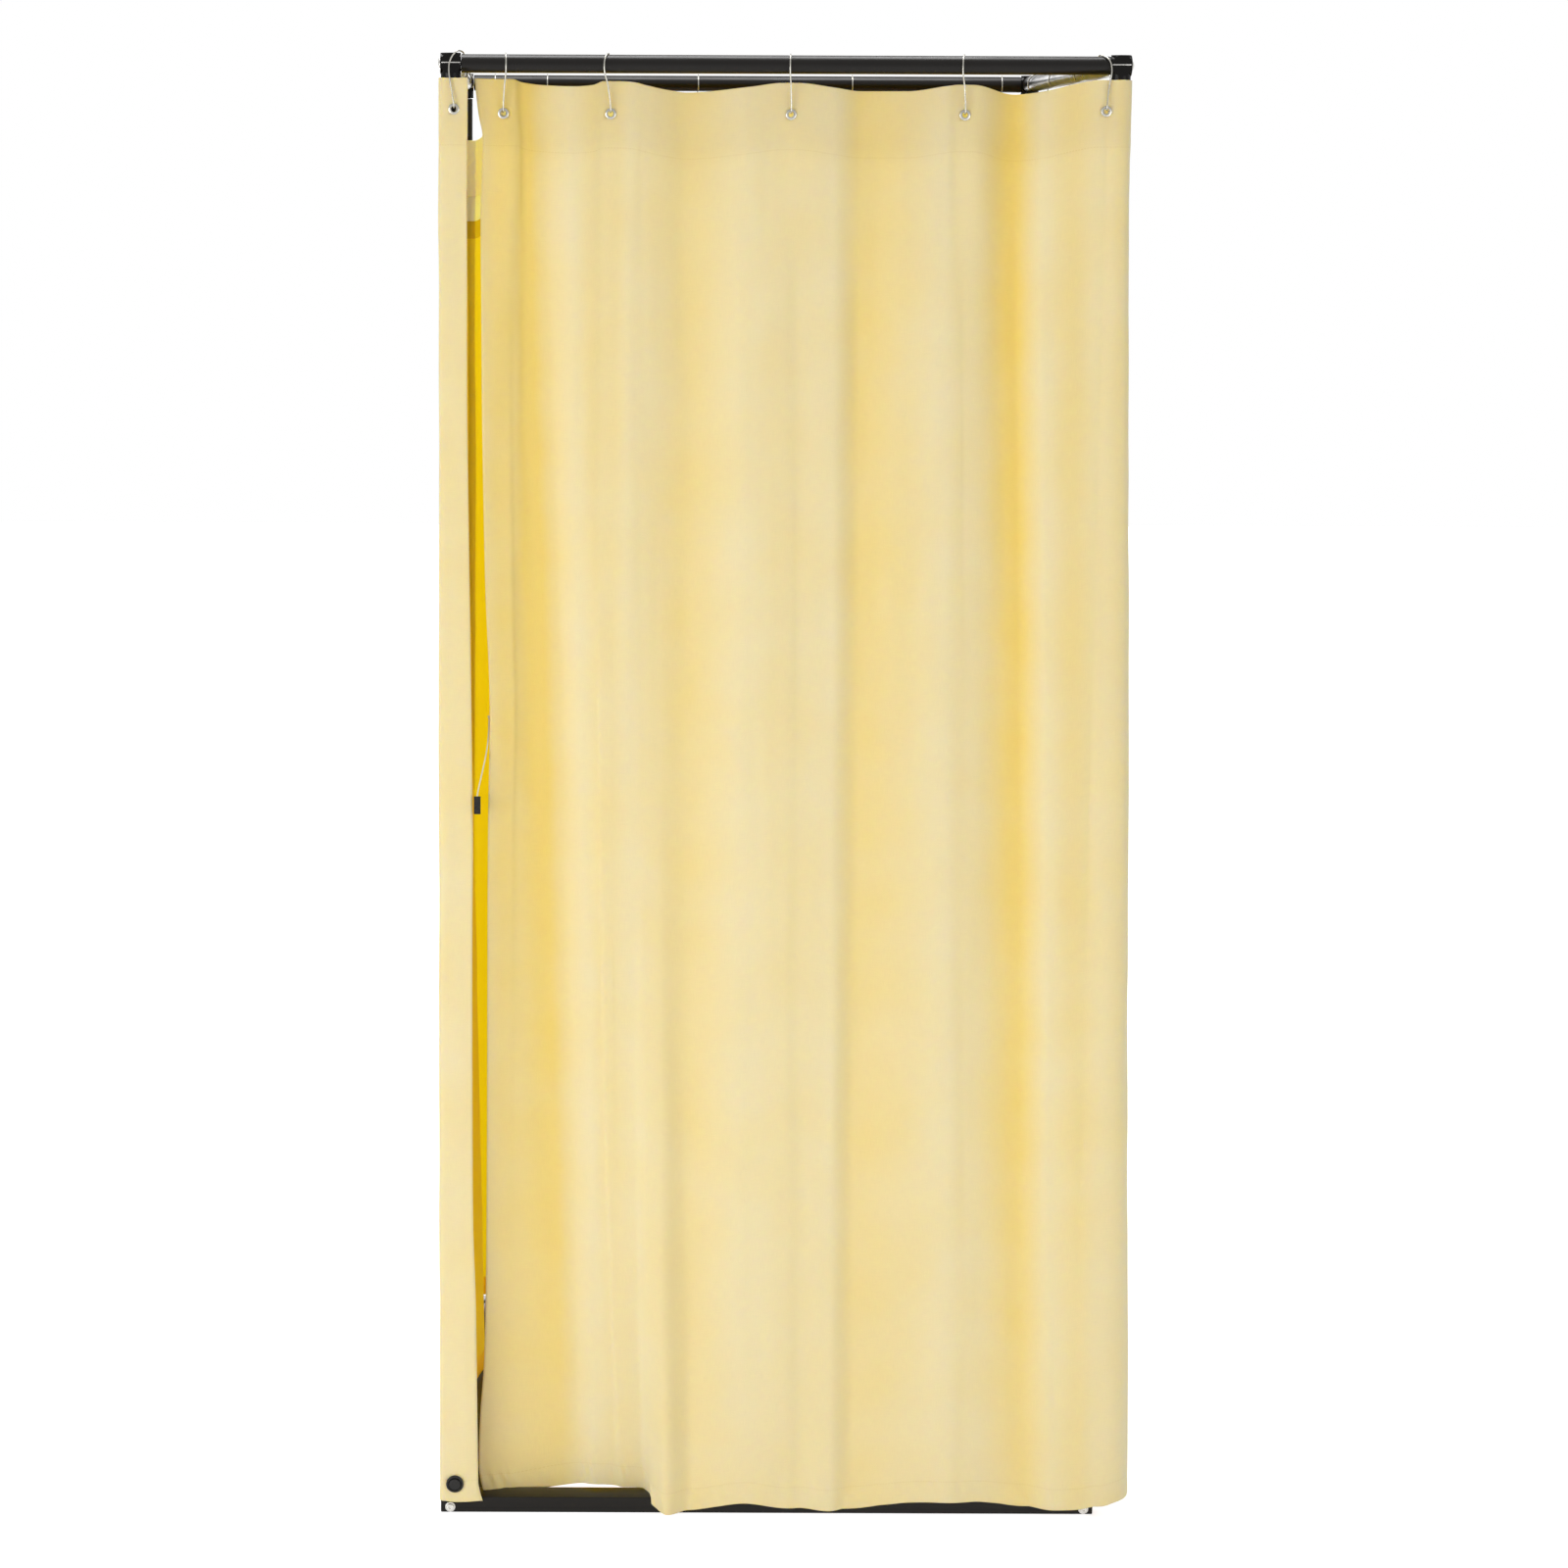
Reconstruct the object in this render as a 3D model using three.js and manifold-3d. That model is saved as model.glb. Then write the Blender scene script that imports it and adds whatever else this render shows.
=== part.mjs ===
// A portable fitting room: a square ring of tube on four posts and a flat base, hung all round with a curtain on wire
// hooks. The curtain opens at the front left corner and slides to the right.
import * as THREE from "three";
import { mergeVertices } from "three/addons/utils/BufferGeometryUtils.js";
import Module from "manifold-3d";

const wasm = await Module();
wasm.setup();

// Driving dimensions, in millimetres
const ringWidth = 900; // over the corner joints, left to right
const ringDepth = 900; // over the corner joints, front to back
const railHeight = 1970; // from the floor to the rails' axes
const clearance = 0.3; // between pieces that touch
const overrun = 1; // how far a cutter runs past what it cuts

// Tubes and corner joints
const tubeOuter = 24;
const tubeWall = 1.5;
const jointOuter = 27;
const jointDownArm = 24; // from a rail's axis to the end of the joint's arm round a post
const spigotLength = 40; // how far a spigot reaches into a tube
const tubeSides = 24;
const jointSides = 16;

// Corner bolts, with a domed head
const boltThread = 6;
const boltHeadWidth = 14;
const boltHeadHeight = 3.6;
const boltReach = 16; // below the head
const boltSides = 12;

// Base: two cross bars and two flat runners, all hollow, bolted at the corners
const baseHeight = 22;
const crossBarDepth = 40;
const runnerWidth = 60;
const baseWall = 2;
const runnerEndBlock = 20; // the solid end of a runner that a base bolt screws into
const baseBoltInset = 13; // from a cross bar's end to the bolt's axis
const baseBoltHeight = 8; // from the floor to the bolt's axis
const baseBoltHeadWidth = 10.4;
const baseBoltHeadHeight = 3;
const washerWidth = 13.8;
const washerThickness = 1.2;

// Hooks and eyelets
const wire = 2;
const hookBend = 15.5; // radius of the hook's bow, at the middle of the wire
const eyeletDrop = 64; // from a rail's axis to the middle of an eyelet
const cornerEyeletDrop = 59; // the same at the front corners, where the hooks sit on the joints
const eyeletWidth = 14;
const eyeletHole = 7;
const eyeletBarrelWall = 0.8;
const eyeletFlange = 0.7;
const eyeletSides = 10;
const wireSides = 6;
const stillWireSides = 5; // the hooks on the other three sides have plainer wire

// Curtain
const cloth = 1.6; // thickness of the cloth and its turned-in hem, as one solid sheet
const clothTop = 21; // from a rail's axis down to the cloth's upper edge at a hook
const cornerTop = 19; // the same where the cloth goes round a front corner
const header = 86; // height of the doubled band along the upper edge
const hemHeight = 20; // from the floor to the hem at a hook
const hemAboveBase = 5; // how far the hem stays above the base where it hangs over it
const foldDepth = 20; // how far one full fold stands out
const clothOut = 2; // from a rail's plane out to the cloth at a hook
const cornerOut = 15.5; // the same where the cloth goes round the outside of a post
const eyeletFlat = 18; // width of the flat of cloth that an eyelet sits in

// Magnetic button and closing cord
const magnetWidth = 24;
const magnetThickness = 3;
const magnetBossWidth = 15.6;
const magnetBossHeight = 1.6;
const magnetHeight = 44;
const magnetSides = 20;
const cordThickness = 2;
const cordSides = 8;
const clipWidth = 9;
const clipHeight = 24;
const clipDepth = 4;

// Worked out from the driving dimensions
const halfX = ringWidth / 2 - jointOuter / 2; // from the middle to a side rail's axis
const halfY = ringDepth / 2 - jointOuter / 2;
const tubeRadius = tubeOuter / 2;
const jointRadius = jointOuter / 2;
const jointSideArm = jointRadius; // an arm round a rail ends flush with the arm round the post
const spigotRadius = tubeRadius - tubeWall - clearance;
const boltHole = boltThread / 2 + clearance;
const hemOverBase = baseHeight + hemAboveBase;

const blackSatin = { color: 0x1d1b1a, roughness: 0.45, metalness: 0.3 };
const blackGloss = { color: 0x151414, roughness: 0.15, metalness: 0.2 };
const steel = { color: 0xc9c9c6, roughness: 0.25, metalness: 1 };
const creamCloth = { color: 0xe8d69c, roughness: 0.85, metalness: 0, side: THREE.DoubleSide };
const blackPlastic = { color: 0x17181a, roughness: 0.4, metalness: 0 };
const creamCord = { color: 0xe6dcc0, roughness: 0.8, metalness: 0 };

const room = new THREE.Group();

// Solids: a geometry as something that can be cut and joined, and back again

function solidOf(geometry) {
  const bare = geometry.clone();
  bare.deleteAttribute("normal");
  bare.deleteAttribute("uv");
  const merged = mergeVertices(bare);
  return new wasm.Manifold(
    new wasm.Mesh({
      numProp: 3,
      vertProperties: new Float32Array(merged.attributes.position.array),
      triVerts: new Uint32Array(merged.index.array),
    }),
  );
}

function geometryOf(solid) {
  const mesh = solid.getMesh();
  const geometry = new THREE.BufferGeometry();
  geometry.setAttribute("position", new THREE.BufferAttribute(new Float32Array(mesh.vertProperties), 3));
  geometry.setIndex(new THREE.BufferAttribute(new Uint32Array(mesh.triVerts), 1));
  geometry.computeVertexNormals();
  return geometry;
}

function joined(parts) {
  return parts.reduce((whole, part) => whole.add(part));
}

function cutBy(whole, cutters) {
  return cutters.reduce((left, cutter) => left.subtract(cutter), whole);
}

function addPiece(parent, name, geometry, finish) {
  const mesh = new THREE.Mesh(geometry, new THREE.MeshStandardMaterial(finish));
  mesh.name = name;
  parent.add(mesh);
  return mesh;
}

// A round bar from one point to another
function barBetween(start, end, radius, sides) {
  const along = new THREE.Vector3().subVectors(end, start);
  const bar = new THREE.CylinderGeometry(radius, radius, along.length(), sides);
  const turn = new THREE.Quaternion().setFromUnitVectors(new THREE.Vector3(0, 1, 0), along.clone().normalize());
  bar.applyQuaternion(turn);
  bar.translate(...new THREE.Vector3().addVectors(start, end).divideScalar(2).toArray());
  return bar;
}

function boxBetween(low, high) {
  const size = new THREE.Vector3().subVectors(high, low);
  const box = new THREE.BoxGeometry(size.x, size.y, size.z);
  box.translate(...new THREE.Vector3().addVectors(low, high).divideScalar(2).toArray());
  return box;
}

// A profile of [radius, height] points turned about an axis that points along a direction from a place
function turned(profile, sides, place, direction) {
  const points = profile.map(([radius, height]) => new THREE.Vector2(radius, height));
  const body = new THREE.LatheGeometry(points, sides);
  const turn = new THREE.Quaternion().setFromUnitVectors(new THREE.Vector3(0, 1, 0), direction);
  body.applyQuaternion(turn);
  body.translate(...place.toArray());
  return body;
}

// A length of tube, open at both ends
function tube(start, end) {
  const along = new THREE.Vector3().subVectors(end, start);
  const inner = tubeRadius - tubeWall;
  const length = along.length();
  const section = [
    [inner, 0],
    [tubeRadius, 0],
    [tubeRadius, length],
    [inner, length],
    [inner, 0],
  ];
  return turned(section, tubeSides, start, along.normalize());
}

// A curve that is stepped evenly by its points, not by its length, so that tight bends get as many steps as long runs
class BentWire extends THREE.CatmullRomCurve3 {
  getPointAt(share, target) {
    return this.getPoint(share, target);
  }
  getTangentAt(share, target) {
    return this.getTangent(share, target);
  }
}

// A wire through a list of points, with flat ends
function wireThrough(points, thickness, sides) {
  const section = new THREE.Shape();
  for (let k = 0; k < sides; k++) {
    const angle = (2 * Math.PI * k) / sides;
    const x = (thickness / 2) * Math.cos(angle);
    const y = (thickness / 2) * Math.sin(angle);
    if (k === 0) section.moveTo(x, y);
    else section.lineTo(x, y);
  }
  section.closePath();
  const path = new BentWire(points, false, "centripetal");
  return new THREE.ExtrudeGeometry(section, { steps: points.length - 1, extrudePath: path, bevelEnabled: false });
}

// Frame: rails, posts and corner joints

const corners = [
  { name: "front_left", x: -1, y: -1 },
  { name: "front_right", x: 1, y: -1 },
  { name: "back_left", x: -1, y: 1 },
  { name: "back_right", x: 1, y: 1 },
];

function addRails() {
  const endX = halfX - jointSideArm - clearance;
  const endY = halfY - jointSideArm - clearance;
  const z = railHeight;
  const ends = {
    front_rail: [new THREE.Vector3(-endX, -halfY, z), new THREE.Vector3(endX, -halfY, z)],
    back_rail: [new THREE.Vector3(-endX, halfY, z), new THREE.Vector3(endX, halfY, z)],
    left_rail: [new THREE.Vector3(-halfX, -endY, z), new THREE.Vector3(-halfX, endY, z)],
    right_rail: [new THREE.Vector3(halfX, -endY, z), new THREE.Vector3(halfX, endY, z)],
  };
  for (const [name, [start, end]] of Object.entries(ends)) addPiece(room, name, tube(start, end), blackSatin);
}

function addPost(corner) {
  const foot = new THREE.Vector3(corner.x * halfX, corner.y * halfY, baseHeight + clearance);
  const top = foot.clone().setZ(railHeight - jointDownArm - clearance);
  addPiece(room, `corner_post_${corner.name}`, tube(foot, top), blackSatin);
}

// Three short arms welded together, each with a spigot that goes into a tube
function addCornerJoint(corner) {
  const centre = new THREE.Vector3(corner.x * halfX, corner.y * halfY, railHeight);
  const arms = [
    { inward: new THREE.Vector3(-corner.x, 0, 0), reach: jointSideArm },
    { inward: new THREE.Vector3(0, -corner.y, 0), reach: jointSideArm },
    { inward: new THREE.Vector3(0, 0, -1), reach: jointDownArm },
  ];
  const parts = arms.flatMap(({ inward, reach }) => {
    const outerEnd = centre.clone().addScaledVector(inward, -jointRadius);
    const armEnd = centre.clone().addScaledVector(inward, reach);
    const spigotEnd = centre.clone().addScaledVector(inward, reach + spigotLength);
    return [
      solidOf(barBetween(outerEnd, armEnd, jointRadius, jointSides)),
      solidOf(barBetween(centre, spigotEnd, spigotRadius, jointSides)),
    ];
  });
  const face = centre.clone().add(new THREE.Vector3(corner.x * jointRadius, 0, 0));
  const mouth = face.clone().add(new THREE.Vector3(corner.x * overrun, 0, 0));
  const bottom = face.clone().add(new THREE.Vector3(-corner.x * (boltReach + clearance), 0, 0));
  const hole = solidOf(barBetween(bottom, mouth, boltHole, boltSides));
  addPiece(room, `corner_joint_${corner.name}`, geometryOf(joined(parts).subtract(hole)), blackGloss);
}

// A domed head and its thread, pointing outwards from the corner joint's end face
function addCornerBolt(corner) {
  const outward = new THREE.Vector3(corner.x, 0, 0);
  const seat = jointRadius + clearance;
  const place = new THREE.Vector3(corner.x * (halfX + seat), corner.y * halfY, railHeight);
  const rimHeight = boltHeadHeight / 4;
  const profile = [
    [0, -boltReach],
    [boltThread / 2, -boltReach],
    [boltThread / 2, 0],
    [boltHeadWidth / 2, 0],
    [boltHeadWidth / 2, rimHeight],
    [boltHeadWidth / 2.6, boltHeadHeight * 0.7],
    [boltHeadWidth / 5, boltHeadHeight * 0.95],
    [0, boltHeadHeight],
  ];
  addPiece(room, `corner_bolt_${corner.name}`, turned(profile, boltSides, place, outward), steel);
}

// Base

const baseBoltX = ringWidth / 2 - baseBoltInset;

// A hollow bar with closed ends, bolted through at both ends, and a spigot for each post
function addCrossBar(name, side) {
  const outerY = side * (ringDepth / 2);
  const innerY = side * (ringDepth / 2 - crossBarDepth);
  const nearY = Math.min(outerY, innerY);
  const farY = Math.max(outerY, innerY);
  const halfBar = ringWidth / 2;
  const shell = solidOf(boxBetween(new THREE.Vector3(-halfBar, nearY, 0), new THREE.Vector3(halfBar, farY, baseHeight)));
  const hollow = solidOf(
    boxBetween(
      new THREE.Vector3(-halfBar + baseWall, nearY + baseWall, baseWall),
      new THREE.Vector3(halfBar - baseWall, farY - baseWall, baseHeight - baseWall),
    ),
  );
  const spigots = [-1, 1].map((way) => {
    const foot = new THREE.Vector3(way * halfX, side * halfY, baseHeight - baseWall / 2);
    return solidOf(barBetween(foot, foot.clone().setZ(baseHeight + spigotLength), spigotRadius, jointSides));
  });
  const holes = [-1, 1].map((way) => {
    const near = new THREE.Vector3(way * baseBoltX, nearY - overrun, baseBoltHeight);
    return solidOf(barBetween(near, near.clone().setY(farY + overrun), boltHole, boltSides));
  });
  const bar = cutBy(joined([shell.subtract(hollow), ...spigots]), holes);
  addPiece(room, name, geometryOf(bar), blackSatin);
}

// A flat hollow runner with a solid threaded block in each end
function addRunner(name, side) {
  const outerX = side * (ringWidth / 2);
  const innerX = side * (ringWidth / 2 - runnerWidth);
  const nearX = Math.min(outerX, innerX);
  const farX = Math.max(outerX, innerX);
  const endY = ringDepth / 2 - crossBarDepth - clearance;
  const hollowY = endY - runnerEndBlock;
  const shell = solidOf(boxBetween(new THREE.Vector3(nearX, -endY, 0), new THREE.Vector3(farX, endY, baseHeight)));
  const hollow = solidOf(
    boxBetween(
      new THREE.Vector3(nearX + baseWall, -hollowY, baseWall),
      new THREE.Vector3(farX - baseWall, hollowY, baseHeight - baseWall),
    ),
  );
  const holes = [-1, 1].map((way) => {
    const mouth = new THREE.Vector3(side * baseBoltX, way * (endY + overrun), baseBoltHeight);
    return solidOf(barBetween(mouth, mouth.clone().setY(way * (hollowY - overrun)), boltHole, boltSides));
  });
  addPiece(room, name, geometryOf(cutBy(shell.subtract(hollow), holes)), blackSatin);
}

// A pan head on a washer, with a thread that goes through the cross bar into the runner's block
function addBaseBolt(corner) {
  const outward = new THREE.Vector3(0, corner.y, 0);
  const place = new THREE.Vector3(corner.x * baseBoltX, corner.y * (ringDepth / 2 + clearance), baseBoltHeight);
  const reach = crossBarDepth + runnerEndBlock / 2;
  const crown = washerThickness + baseBoltHeadHeight;
  const profile = [
    [0, -reach],
    [boltThread / 2, -reach],
    [boltThread / 2, 0],
    [washerWidth / 2, 0],
    [washerWidth / 2, washerThickness],
    [baseBoltHeadWidth / 2, washerThickness],
    [baseBoltHeadWidth / 2, washerThickness + baseBoltHeadHeight * 0.6],
    [baseBoltHeadWidth / 3, crown],
    [0, crown],
  ];
  addPiece(room, `base_bolt_${corner.name}`, turned(profile, boltSides, place, outward), steel);
}

// Sides: each is a group with its rail along X, its outside towards -Y and the rail's axis at the group's height

function addSide(quarterTurns, halfAcross) {
  const side = new THREE.Group();
  side.rotation.z = (quarterTurns * Math.PI) / 2;
  side.userData.out = halfAcross; // from the middle out to this side's rail
  room.add(side);
  return side;
}

// A place on a side: how far along the rail, how far outside the rail's plane, and how far below its axis
function onSide(side, along, out, below) {
  return new THREE.Vector3(along, -(side.userData.out + out), railHeight - below);
}

// Hooks: a bow over the rail, a shank down the outside of the cloth and a small turn up through the eyelet.
// topLean and shankLean say how far the bow and the shank lean along the rail, away from the eyelet.

const turnWidth = 8.8; // across the lower turn, between the middles of its two legs
const turnFlat = 4.8; // the level stretch of the turn that the eyelet's upper rim sits on
const turnHeight = 6; // of the leg behind the cloth

// The lower turn, from its front leg under the eyelet's upper rim to its tip behind the cloth
function lowerTurn(side, along, out, drop) {
  const seat = drop - eyeletHole / 2 + wire / 2 + 1.5 * clearance;
  const leg = turnWidth / 2;
  const shape = [
    [leg, -0.75 * turnHeight],
    [leg * 0.9, -wire],
    [turnFlat / 2, 0],
    [-turnFlat / 2, 0],
    [-leg * 0.9, -wire],
    [-leg, -turnHeight],
  ];
  return shape.map(([outward, lower]) => onSide(side, along, out + outward, seat + lower));
}

const bowStart = -120; // degrees round the rail from its top, behind it
const bowEnd = 80; // and in front of it
const bowSteps = 10;

function hookPoints(side, along, out, drop, topLean, shankLean) {
  const bowCentre = hookBend - tubeRadius - wire / 2 - clearance; // below the rail's axis
  const points = [];
  for (let k = 0; k <= bowSteps; k++) {
    const angle = THREE.MathUtils.degToRad(THREE.MathUtils.lerp(bowStart, bowEnd, k / bowSteps));
    const forward = Math.max(0, Math.sin(angle));
    const lean = THREE.MathUtils.lerp(topLean, shankLean, forward);
    points.push(onSide(side, along + lean, hookBend * Math.sin(angle), bowCentre - hookBend * Math.cos(angle)));
  }
  const beforeCloth = out + cloth / 2 + wire / 2 + 2 * clearance;
  const shankShares = [
    [0.15, 0.94],
    [0.42, 0.5],
    [0.78, 0.12],
  ];
  for (const [share, left] of shankShares) {
    const below = THREE.MathUtils.lerp(bowCentre, drop - turnHeight, share);
    const standOff = Math.max(THREE.MathUtils.lerp(out + turnWidth / 2, hookBend, left), beforeCloth);
    points.push(onSide(side, along + shankLean * left, standOff, below));
  }
  return [...points, ...lowerTurn(side, along, out, drop)];
}

function addHook(side, name, points, sides = wireSides) {
  addPiece(side, name, wireThrough(points, wire, sides), steel);
}

// A grommet: a barrel through the cloth with a flange on each face
function addEyelet(side, name, along, out, drop) {
  const innerFace = cloth / 2 + clearance;
  const outerFace = innerFace + eyeletFlange;
  const hole = eyeletHole / 2;
  const barrel = hole + eyeletBarrelWall;
  const rim = eyeletWidth / 2;
  const profile = [
    [hole, -outerFace],
    [rim, -outerFace],
    [rim, -innerFace],
    [barrel, -innerFace],
    [barrel, innerFace],
    [rim, innerFace],
    [rim, outerFace],
    [hole, outerFace],
    [hole, -outerFace],
  ];
  const place = onSide(side, along, out, drop);
  addPiece(side, name, turned(profile, eyeletSides, place, new THREE.Vector3(0, -1, 0)), steel);
}

// Curtain. A panel is a row of upright lines of cloth. Each line has a place in plan at the top and one at the hem,
// how far its two ends lie below the rail's axis and above the floor, and how far it bows along the rail between them.

const rowShares = [0.14, 0.42, 0.7, 0.95]; // where the rows of the cloth lie between the header and the hem
const belowEyelet = eyeletDrop + eyeletFlat;

function panelRows(lines) {
  const seam = clothTop + header;
  const rows = [
    lines.map((line) => ({ share: 0, below: line.below })),
    lines.map((line) => ({ share: 0, below: Math.max(belowEyelet, (line.below + seam) / 2) })),
    lines.map(() => ({ share: 0, below: seam })),
  ];
  for (const share of rowShares) {
    rows.push(lines.map(() => ({ share, below: THREE.MathUtils.lerp(seam, railHeight - hemOverBase, share) })));
  }
  rows.push(lines.map((line) => ({ share: 1, below: railHeight - line.hem })));
  return rows;
}

function panelGeometry(side, lines) {
  const rows = panelRows(lines);
  const positions = [];
  const across = lines.length;
  for (const face of [1, -1]) {
    for (const row of rows) {
      const plan = lines.map((line, k) => {
        const { share } = row[k];
        const bowed = (line.bow ?? 0) * 4 * share * (1 - share);
        return [
          THREE.MathUtils.lerp(line.top[0], line.bottom[0], share) + bowed,
          THREE.MathUtils.lerp(line.top[1], line.bottom[1], share),
        ];
      });
      plan.forEach(([along, out], k) => {
        const before = plan[Math.max(k - 1, 0)];
        const after = plan[Math.min(k + 1, across - 1)];
        const direction = new THREE.Vector2(after[0] - before[0], after[1] - before[1]).normalize();
        const shift = (face * cloth) / 2;
        const place = onSide(side, along - direction.y * shift, out + direction.x * shift, row[k].below);
        positions.push(...place.toArray());
      });
    }
  }
  const back = across * rows.length;
  const triangles = [];
  const quad = (a, b, c, d) => triangles.push(a, b, c, a, c, d);
  for (let r = 0; r < rows.length - 1; r++) {
    for (let k = 0; k < across - 1; k++) {
      const a = r * across + k;
      quad(a, a + across, a + across + 1, a + 1);
      quad(back + a, back + a + 1, back + a + across + 1, back + a + across);
    }
    const left = r * across;
    const right = left + across - 1;
    quad(left, back + left, back + left + across, left + across);
    quad(right, right + across, back + right + across, back + right);
  }
  const lowest = (rows.length - 1) * across;
  for (let k = 0; k < across - 1; k++) {
    quad(k, k + 1, back + k + 1, back + k);
    quad(lowest + k, back + lowest + k, back + lowest + k + 1, lowest + k + 1);
  }
  const geometry = new THREE.BufferGeometry();
  geometry.setAttribute("position", new THREE.BufferAttribute(new Float32Array(positions), 3));
  geometry.setIndex(triangles);
  return geometry;
}

// The two lines of cloth at the edges of the flat that holds an eyelet
function flatLines(hook) {
  return [-1, 1].map((way) => ({
    top: [hook.along + (way * eyeletFlat) / 2, hook.out],
    bottom: [hook.along + (hook.hemShift ?? 0) + (way * eyeletFlat) / 2, hook.hemOut],
    below: hook.below ?? clothTop,
    hem: hook.hem,
  }));
}

// The folds between two hooks. Each fold is [share of the way, fold out at the top, fold out at the hem, sag], in
// shares of the fold's depth and of the sag between two hooks, counted from the cloth's line between the hooks.
function foldLines(from, to, folds, sag) {
  const start = from.along + eyeletFlat / 2;
  const end = to.along - eyeletFlat / 2;
  return folds.map(([way, topOut, hemOut, drop, hemWay = way]) => {
    const level = (a, b) => THREE.MathUtils.lerp(a, b, way);
    const hemStart = start + (from.hemShift ?? 0);
    const hemEnd = end + (to.hemShift ?? 0);
    return {
      top: [THREE.MathUtils.lerp(start, end, way), level(from.out, to.out) + topOut * foldDepth],
      bottom: [THREE.MathUtils.lerp(hemStart, hemEnd, hemWay), level(from.hemOut, to.hemOut) + hemOut * foldDepth],
      below: level(from.below ?? clothTop, to.below ?? clothTop) + drop * sag,
      hem: Math.max(level(from.hem, to.hem) - drop * sag, from.leastHem ?? 0),
    };
  });
}

// An eyelet that belongs to a still panel is crimped on as part of the panel's solid
function withEyelets(side, geometry, places) {
  const collars = [];
  const holes = [];
  for (const { along, out, drop } of places) {
    const reach = cloth / 2 + eyeletFlange;
    const near = onSide(side, along, out - reach, drop);
    const far = onSide(side, along, out + reach, drop);
    const past = new THREE.Vector3(0, overrun, 0);
    collars.push(solidOf(barBetween(near, far, eyeletWidth / 2, eyeletSides)));
    holes.push(
      solidOf(barBetween(near.clone().add(past), far.clone().sub(past), eyeletHole / 2, eyeletSides)),
    );
  }
  return cutBy(joined([solidOf(geometry), ...collars]), holes);
}

// The front panel hangs inside the front bar at the left, crosses it, and hangs outside it to the right. The cloth goes
// on round the right corner. It is parted from the right panel at the last front hook, where the folds are pushed up to.

const frontHookShares = [-0.843, -0.522, 0.018, 0.538, 0.955]; // of the way from the middle to a post
const frontSag = 14;
const insideBar = ringDepth / 2 - crossBarDepth - halfY; // out from the rail's plane to the bar's inner face
const outsideBar = ringDepth / 2 - halfY; // the same to its outer face
const barGap = 3; // from the bar's faces to the cloth that hangs past them
const behindBar = insideBar - barGap - cloth;
const beforeBar = outsideBar + barGap;
const cornerHookOut = 18; // out to the cloth at the last front hook, clear of the corner joint
const cornerFootOut = 30; // the same at the hem
const frontEdgeShare = 0.929; // of the way from the middle to the post, to the front panel's free edge
const frontEdgeHemShare = 0.893;
const frontEdgeBow = 12; // how far the free edge bows away from the post half way down
const leastHem = 4; // from the floor to the lowest point of the front hem

const frontHemShares = [0.65, 1.3, 0.85, 1.2, 0.5]; // the hem's height at each hook, in shares of hemHeight

const frontHooks = frontHookShares.map((share, k) => {
  const last = k === frontHookShares.length - 1;
  return {
    along: share * halfX,
    out: last ? cornerHookOut : clothOut,
    hemOut: k < 2 ? behindBar : last ? cornerFootOut : beforeBar,
    drop: last ? cornerEyeletDrop : eyeletDrop,
    below: last ? cornerTop : clothTop,
    hem: frontHemShares[k] * hemHeight,
    leastHem,
  };
});

const frontFoldShares = [
  [
    [0.14, -0.3, -0.1, 0.2],
    [0.34, -0.55, -0.2, 0.4],
    [0.55, 0.1, 0, 0.5],
    [0.76, 0.4, 0.1, 0.45],
    [0.92, 0.2, 0, 0.15],
  ],
  [
    [0.08, -0.15, 0, 0.1],
    [0.22, -0.4, 0.15, 0.5],
    [0.42, -0.5, 0.7, 1.05],
    [0.58, -0.2, 0.5, 1],
    [0.76, 0.25, 0.15, 0.6],
    [0.9, 0.3, 0, 0.1],
  ],
  [
    [0.12, -0.15, 0.15, 0.35],
    [0.38, -0.5, 0.4, 0.9],
    [0.6, -0.1, 0.35, 0.9],
    [0.78, 0.3, 0.1, 0.4],
    [0.92, 0.2, 0, 0.1],
  ],
  [
    [0.12, -0.3, 0.1, 0.3],
    [0.32, -0.75, -0.2, 1, 0.6],
    [0.5, -0.5, 0.15, 1.2, 0.7],
    [0.72, 0.25, 0.25, 0.6, 0.84],
    [0.9, 0.15, 0.1, 0.15, 0.95],
  ],
];

// Where the panel crosses the bar, its hem lies on the bar
function crossingLines() {
  const from = frontHooks[1];
  const hemLift = baseHeight + cloth;
  const crossing = [
    [0.1, behindBar],
    [0.26, beforeBar],
  ];
  const start = from.along + eyeletFlat;
  const span = frontHooks[2].along - frontHooks[1].along;
  return crossing.map(([share, hemOut]) => ({
    top: [start + share * span, clothOut - share * foldDepth],
    bottom: [start + share * span, hemOut],
    below: clothTop + share * frontSag,
    hem: hemLift,
  }));
}

function frontLines() {
  const first = frontHooks[0];
  const last = frontHooks[frontHooks.length - 1];
  const lines = [
    {
      top: [-frontEdgeShare * halfX, clothOut],
      bottom: [-frontEdgeHemShare * halfX, behindBar],
      bow: frontEdgeBow,
      below: cornerTop,
      hem: first.hem,
    },
    ...flatLines(first),
  ];
  frontFoldShares.forEach((folds, k) => {
    const from = frontHooks[k];
    const to = frontHooks[k + 1];
    let between = foldLines(from, to, folds, frontSag);
    if (k === 1) {
      const crossing = crossingLines();
      const past = crossing[1].top[0];
      between = between.filter((line) => line.top[0] > past + eyeletFlat / 2);
      between.forEach((line) => {
        line.bottom[1] = beforeBar + (line.bottom[1] - behindBar) / 3;
      });
      between.unshift(...crossing);
    }
    lines.push(...between, ...flatLines(to));
  });
  const parting = last.along - clearance / 2;
  lines.pop();
  lines.push({ top: [parting, last.out], bottom: [parting, last.hemOut], below: last.below, hem: last.hem });
  return lines;
}

const punchedHole = eyeletHole / 2 + eyeletBarrelWall + clearance; // radius of the hole in the cloth for a loose eyelet

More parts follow.
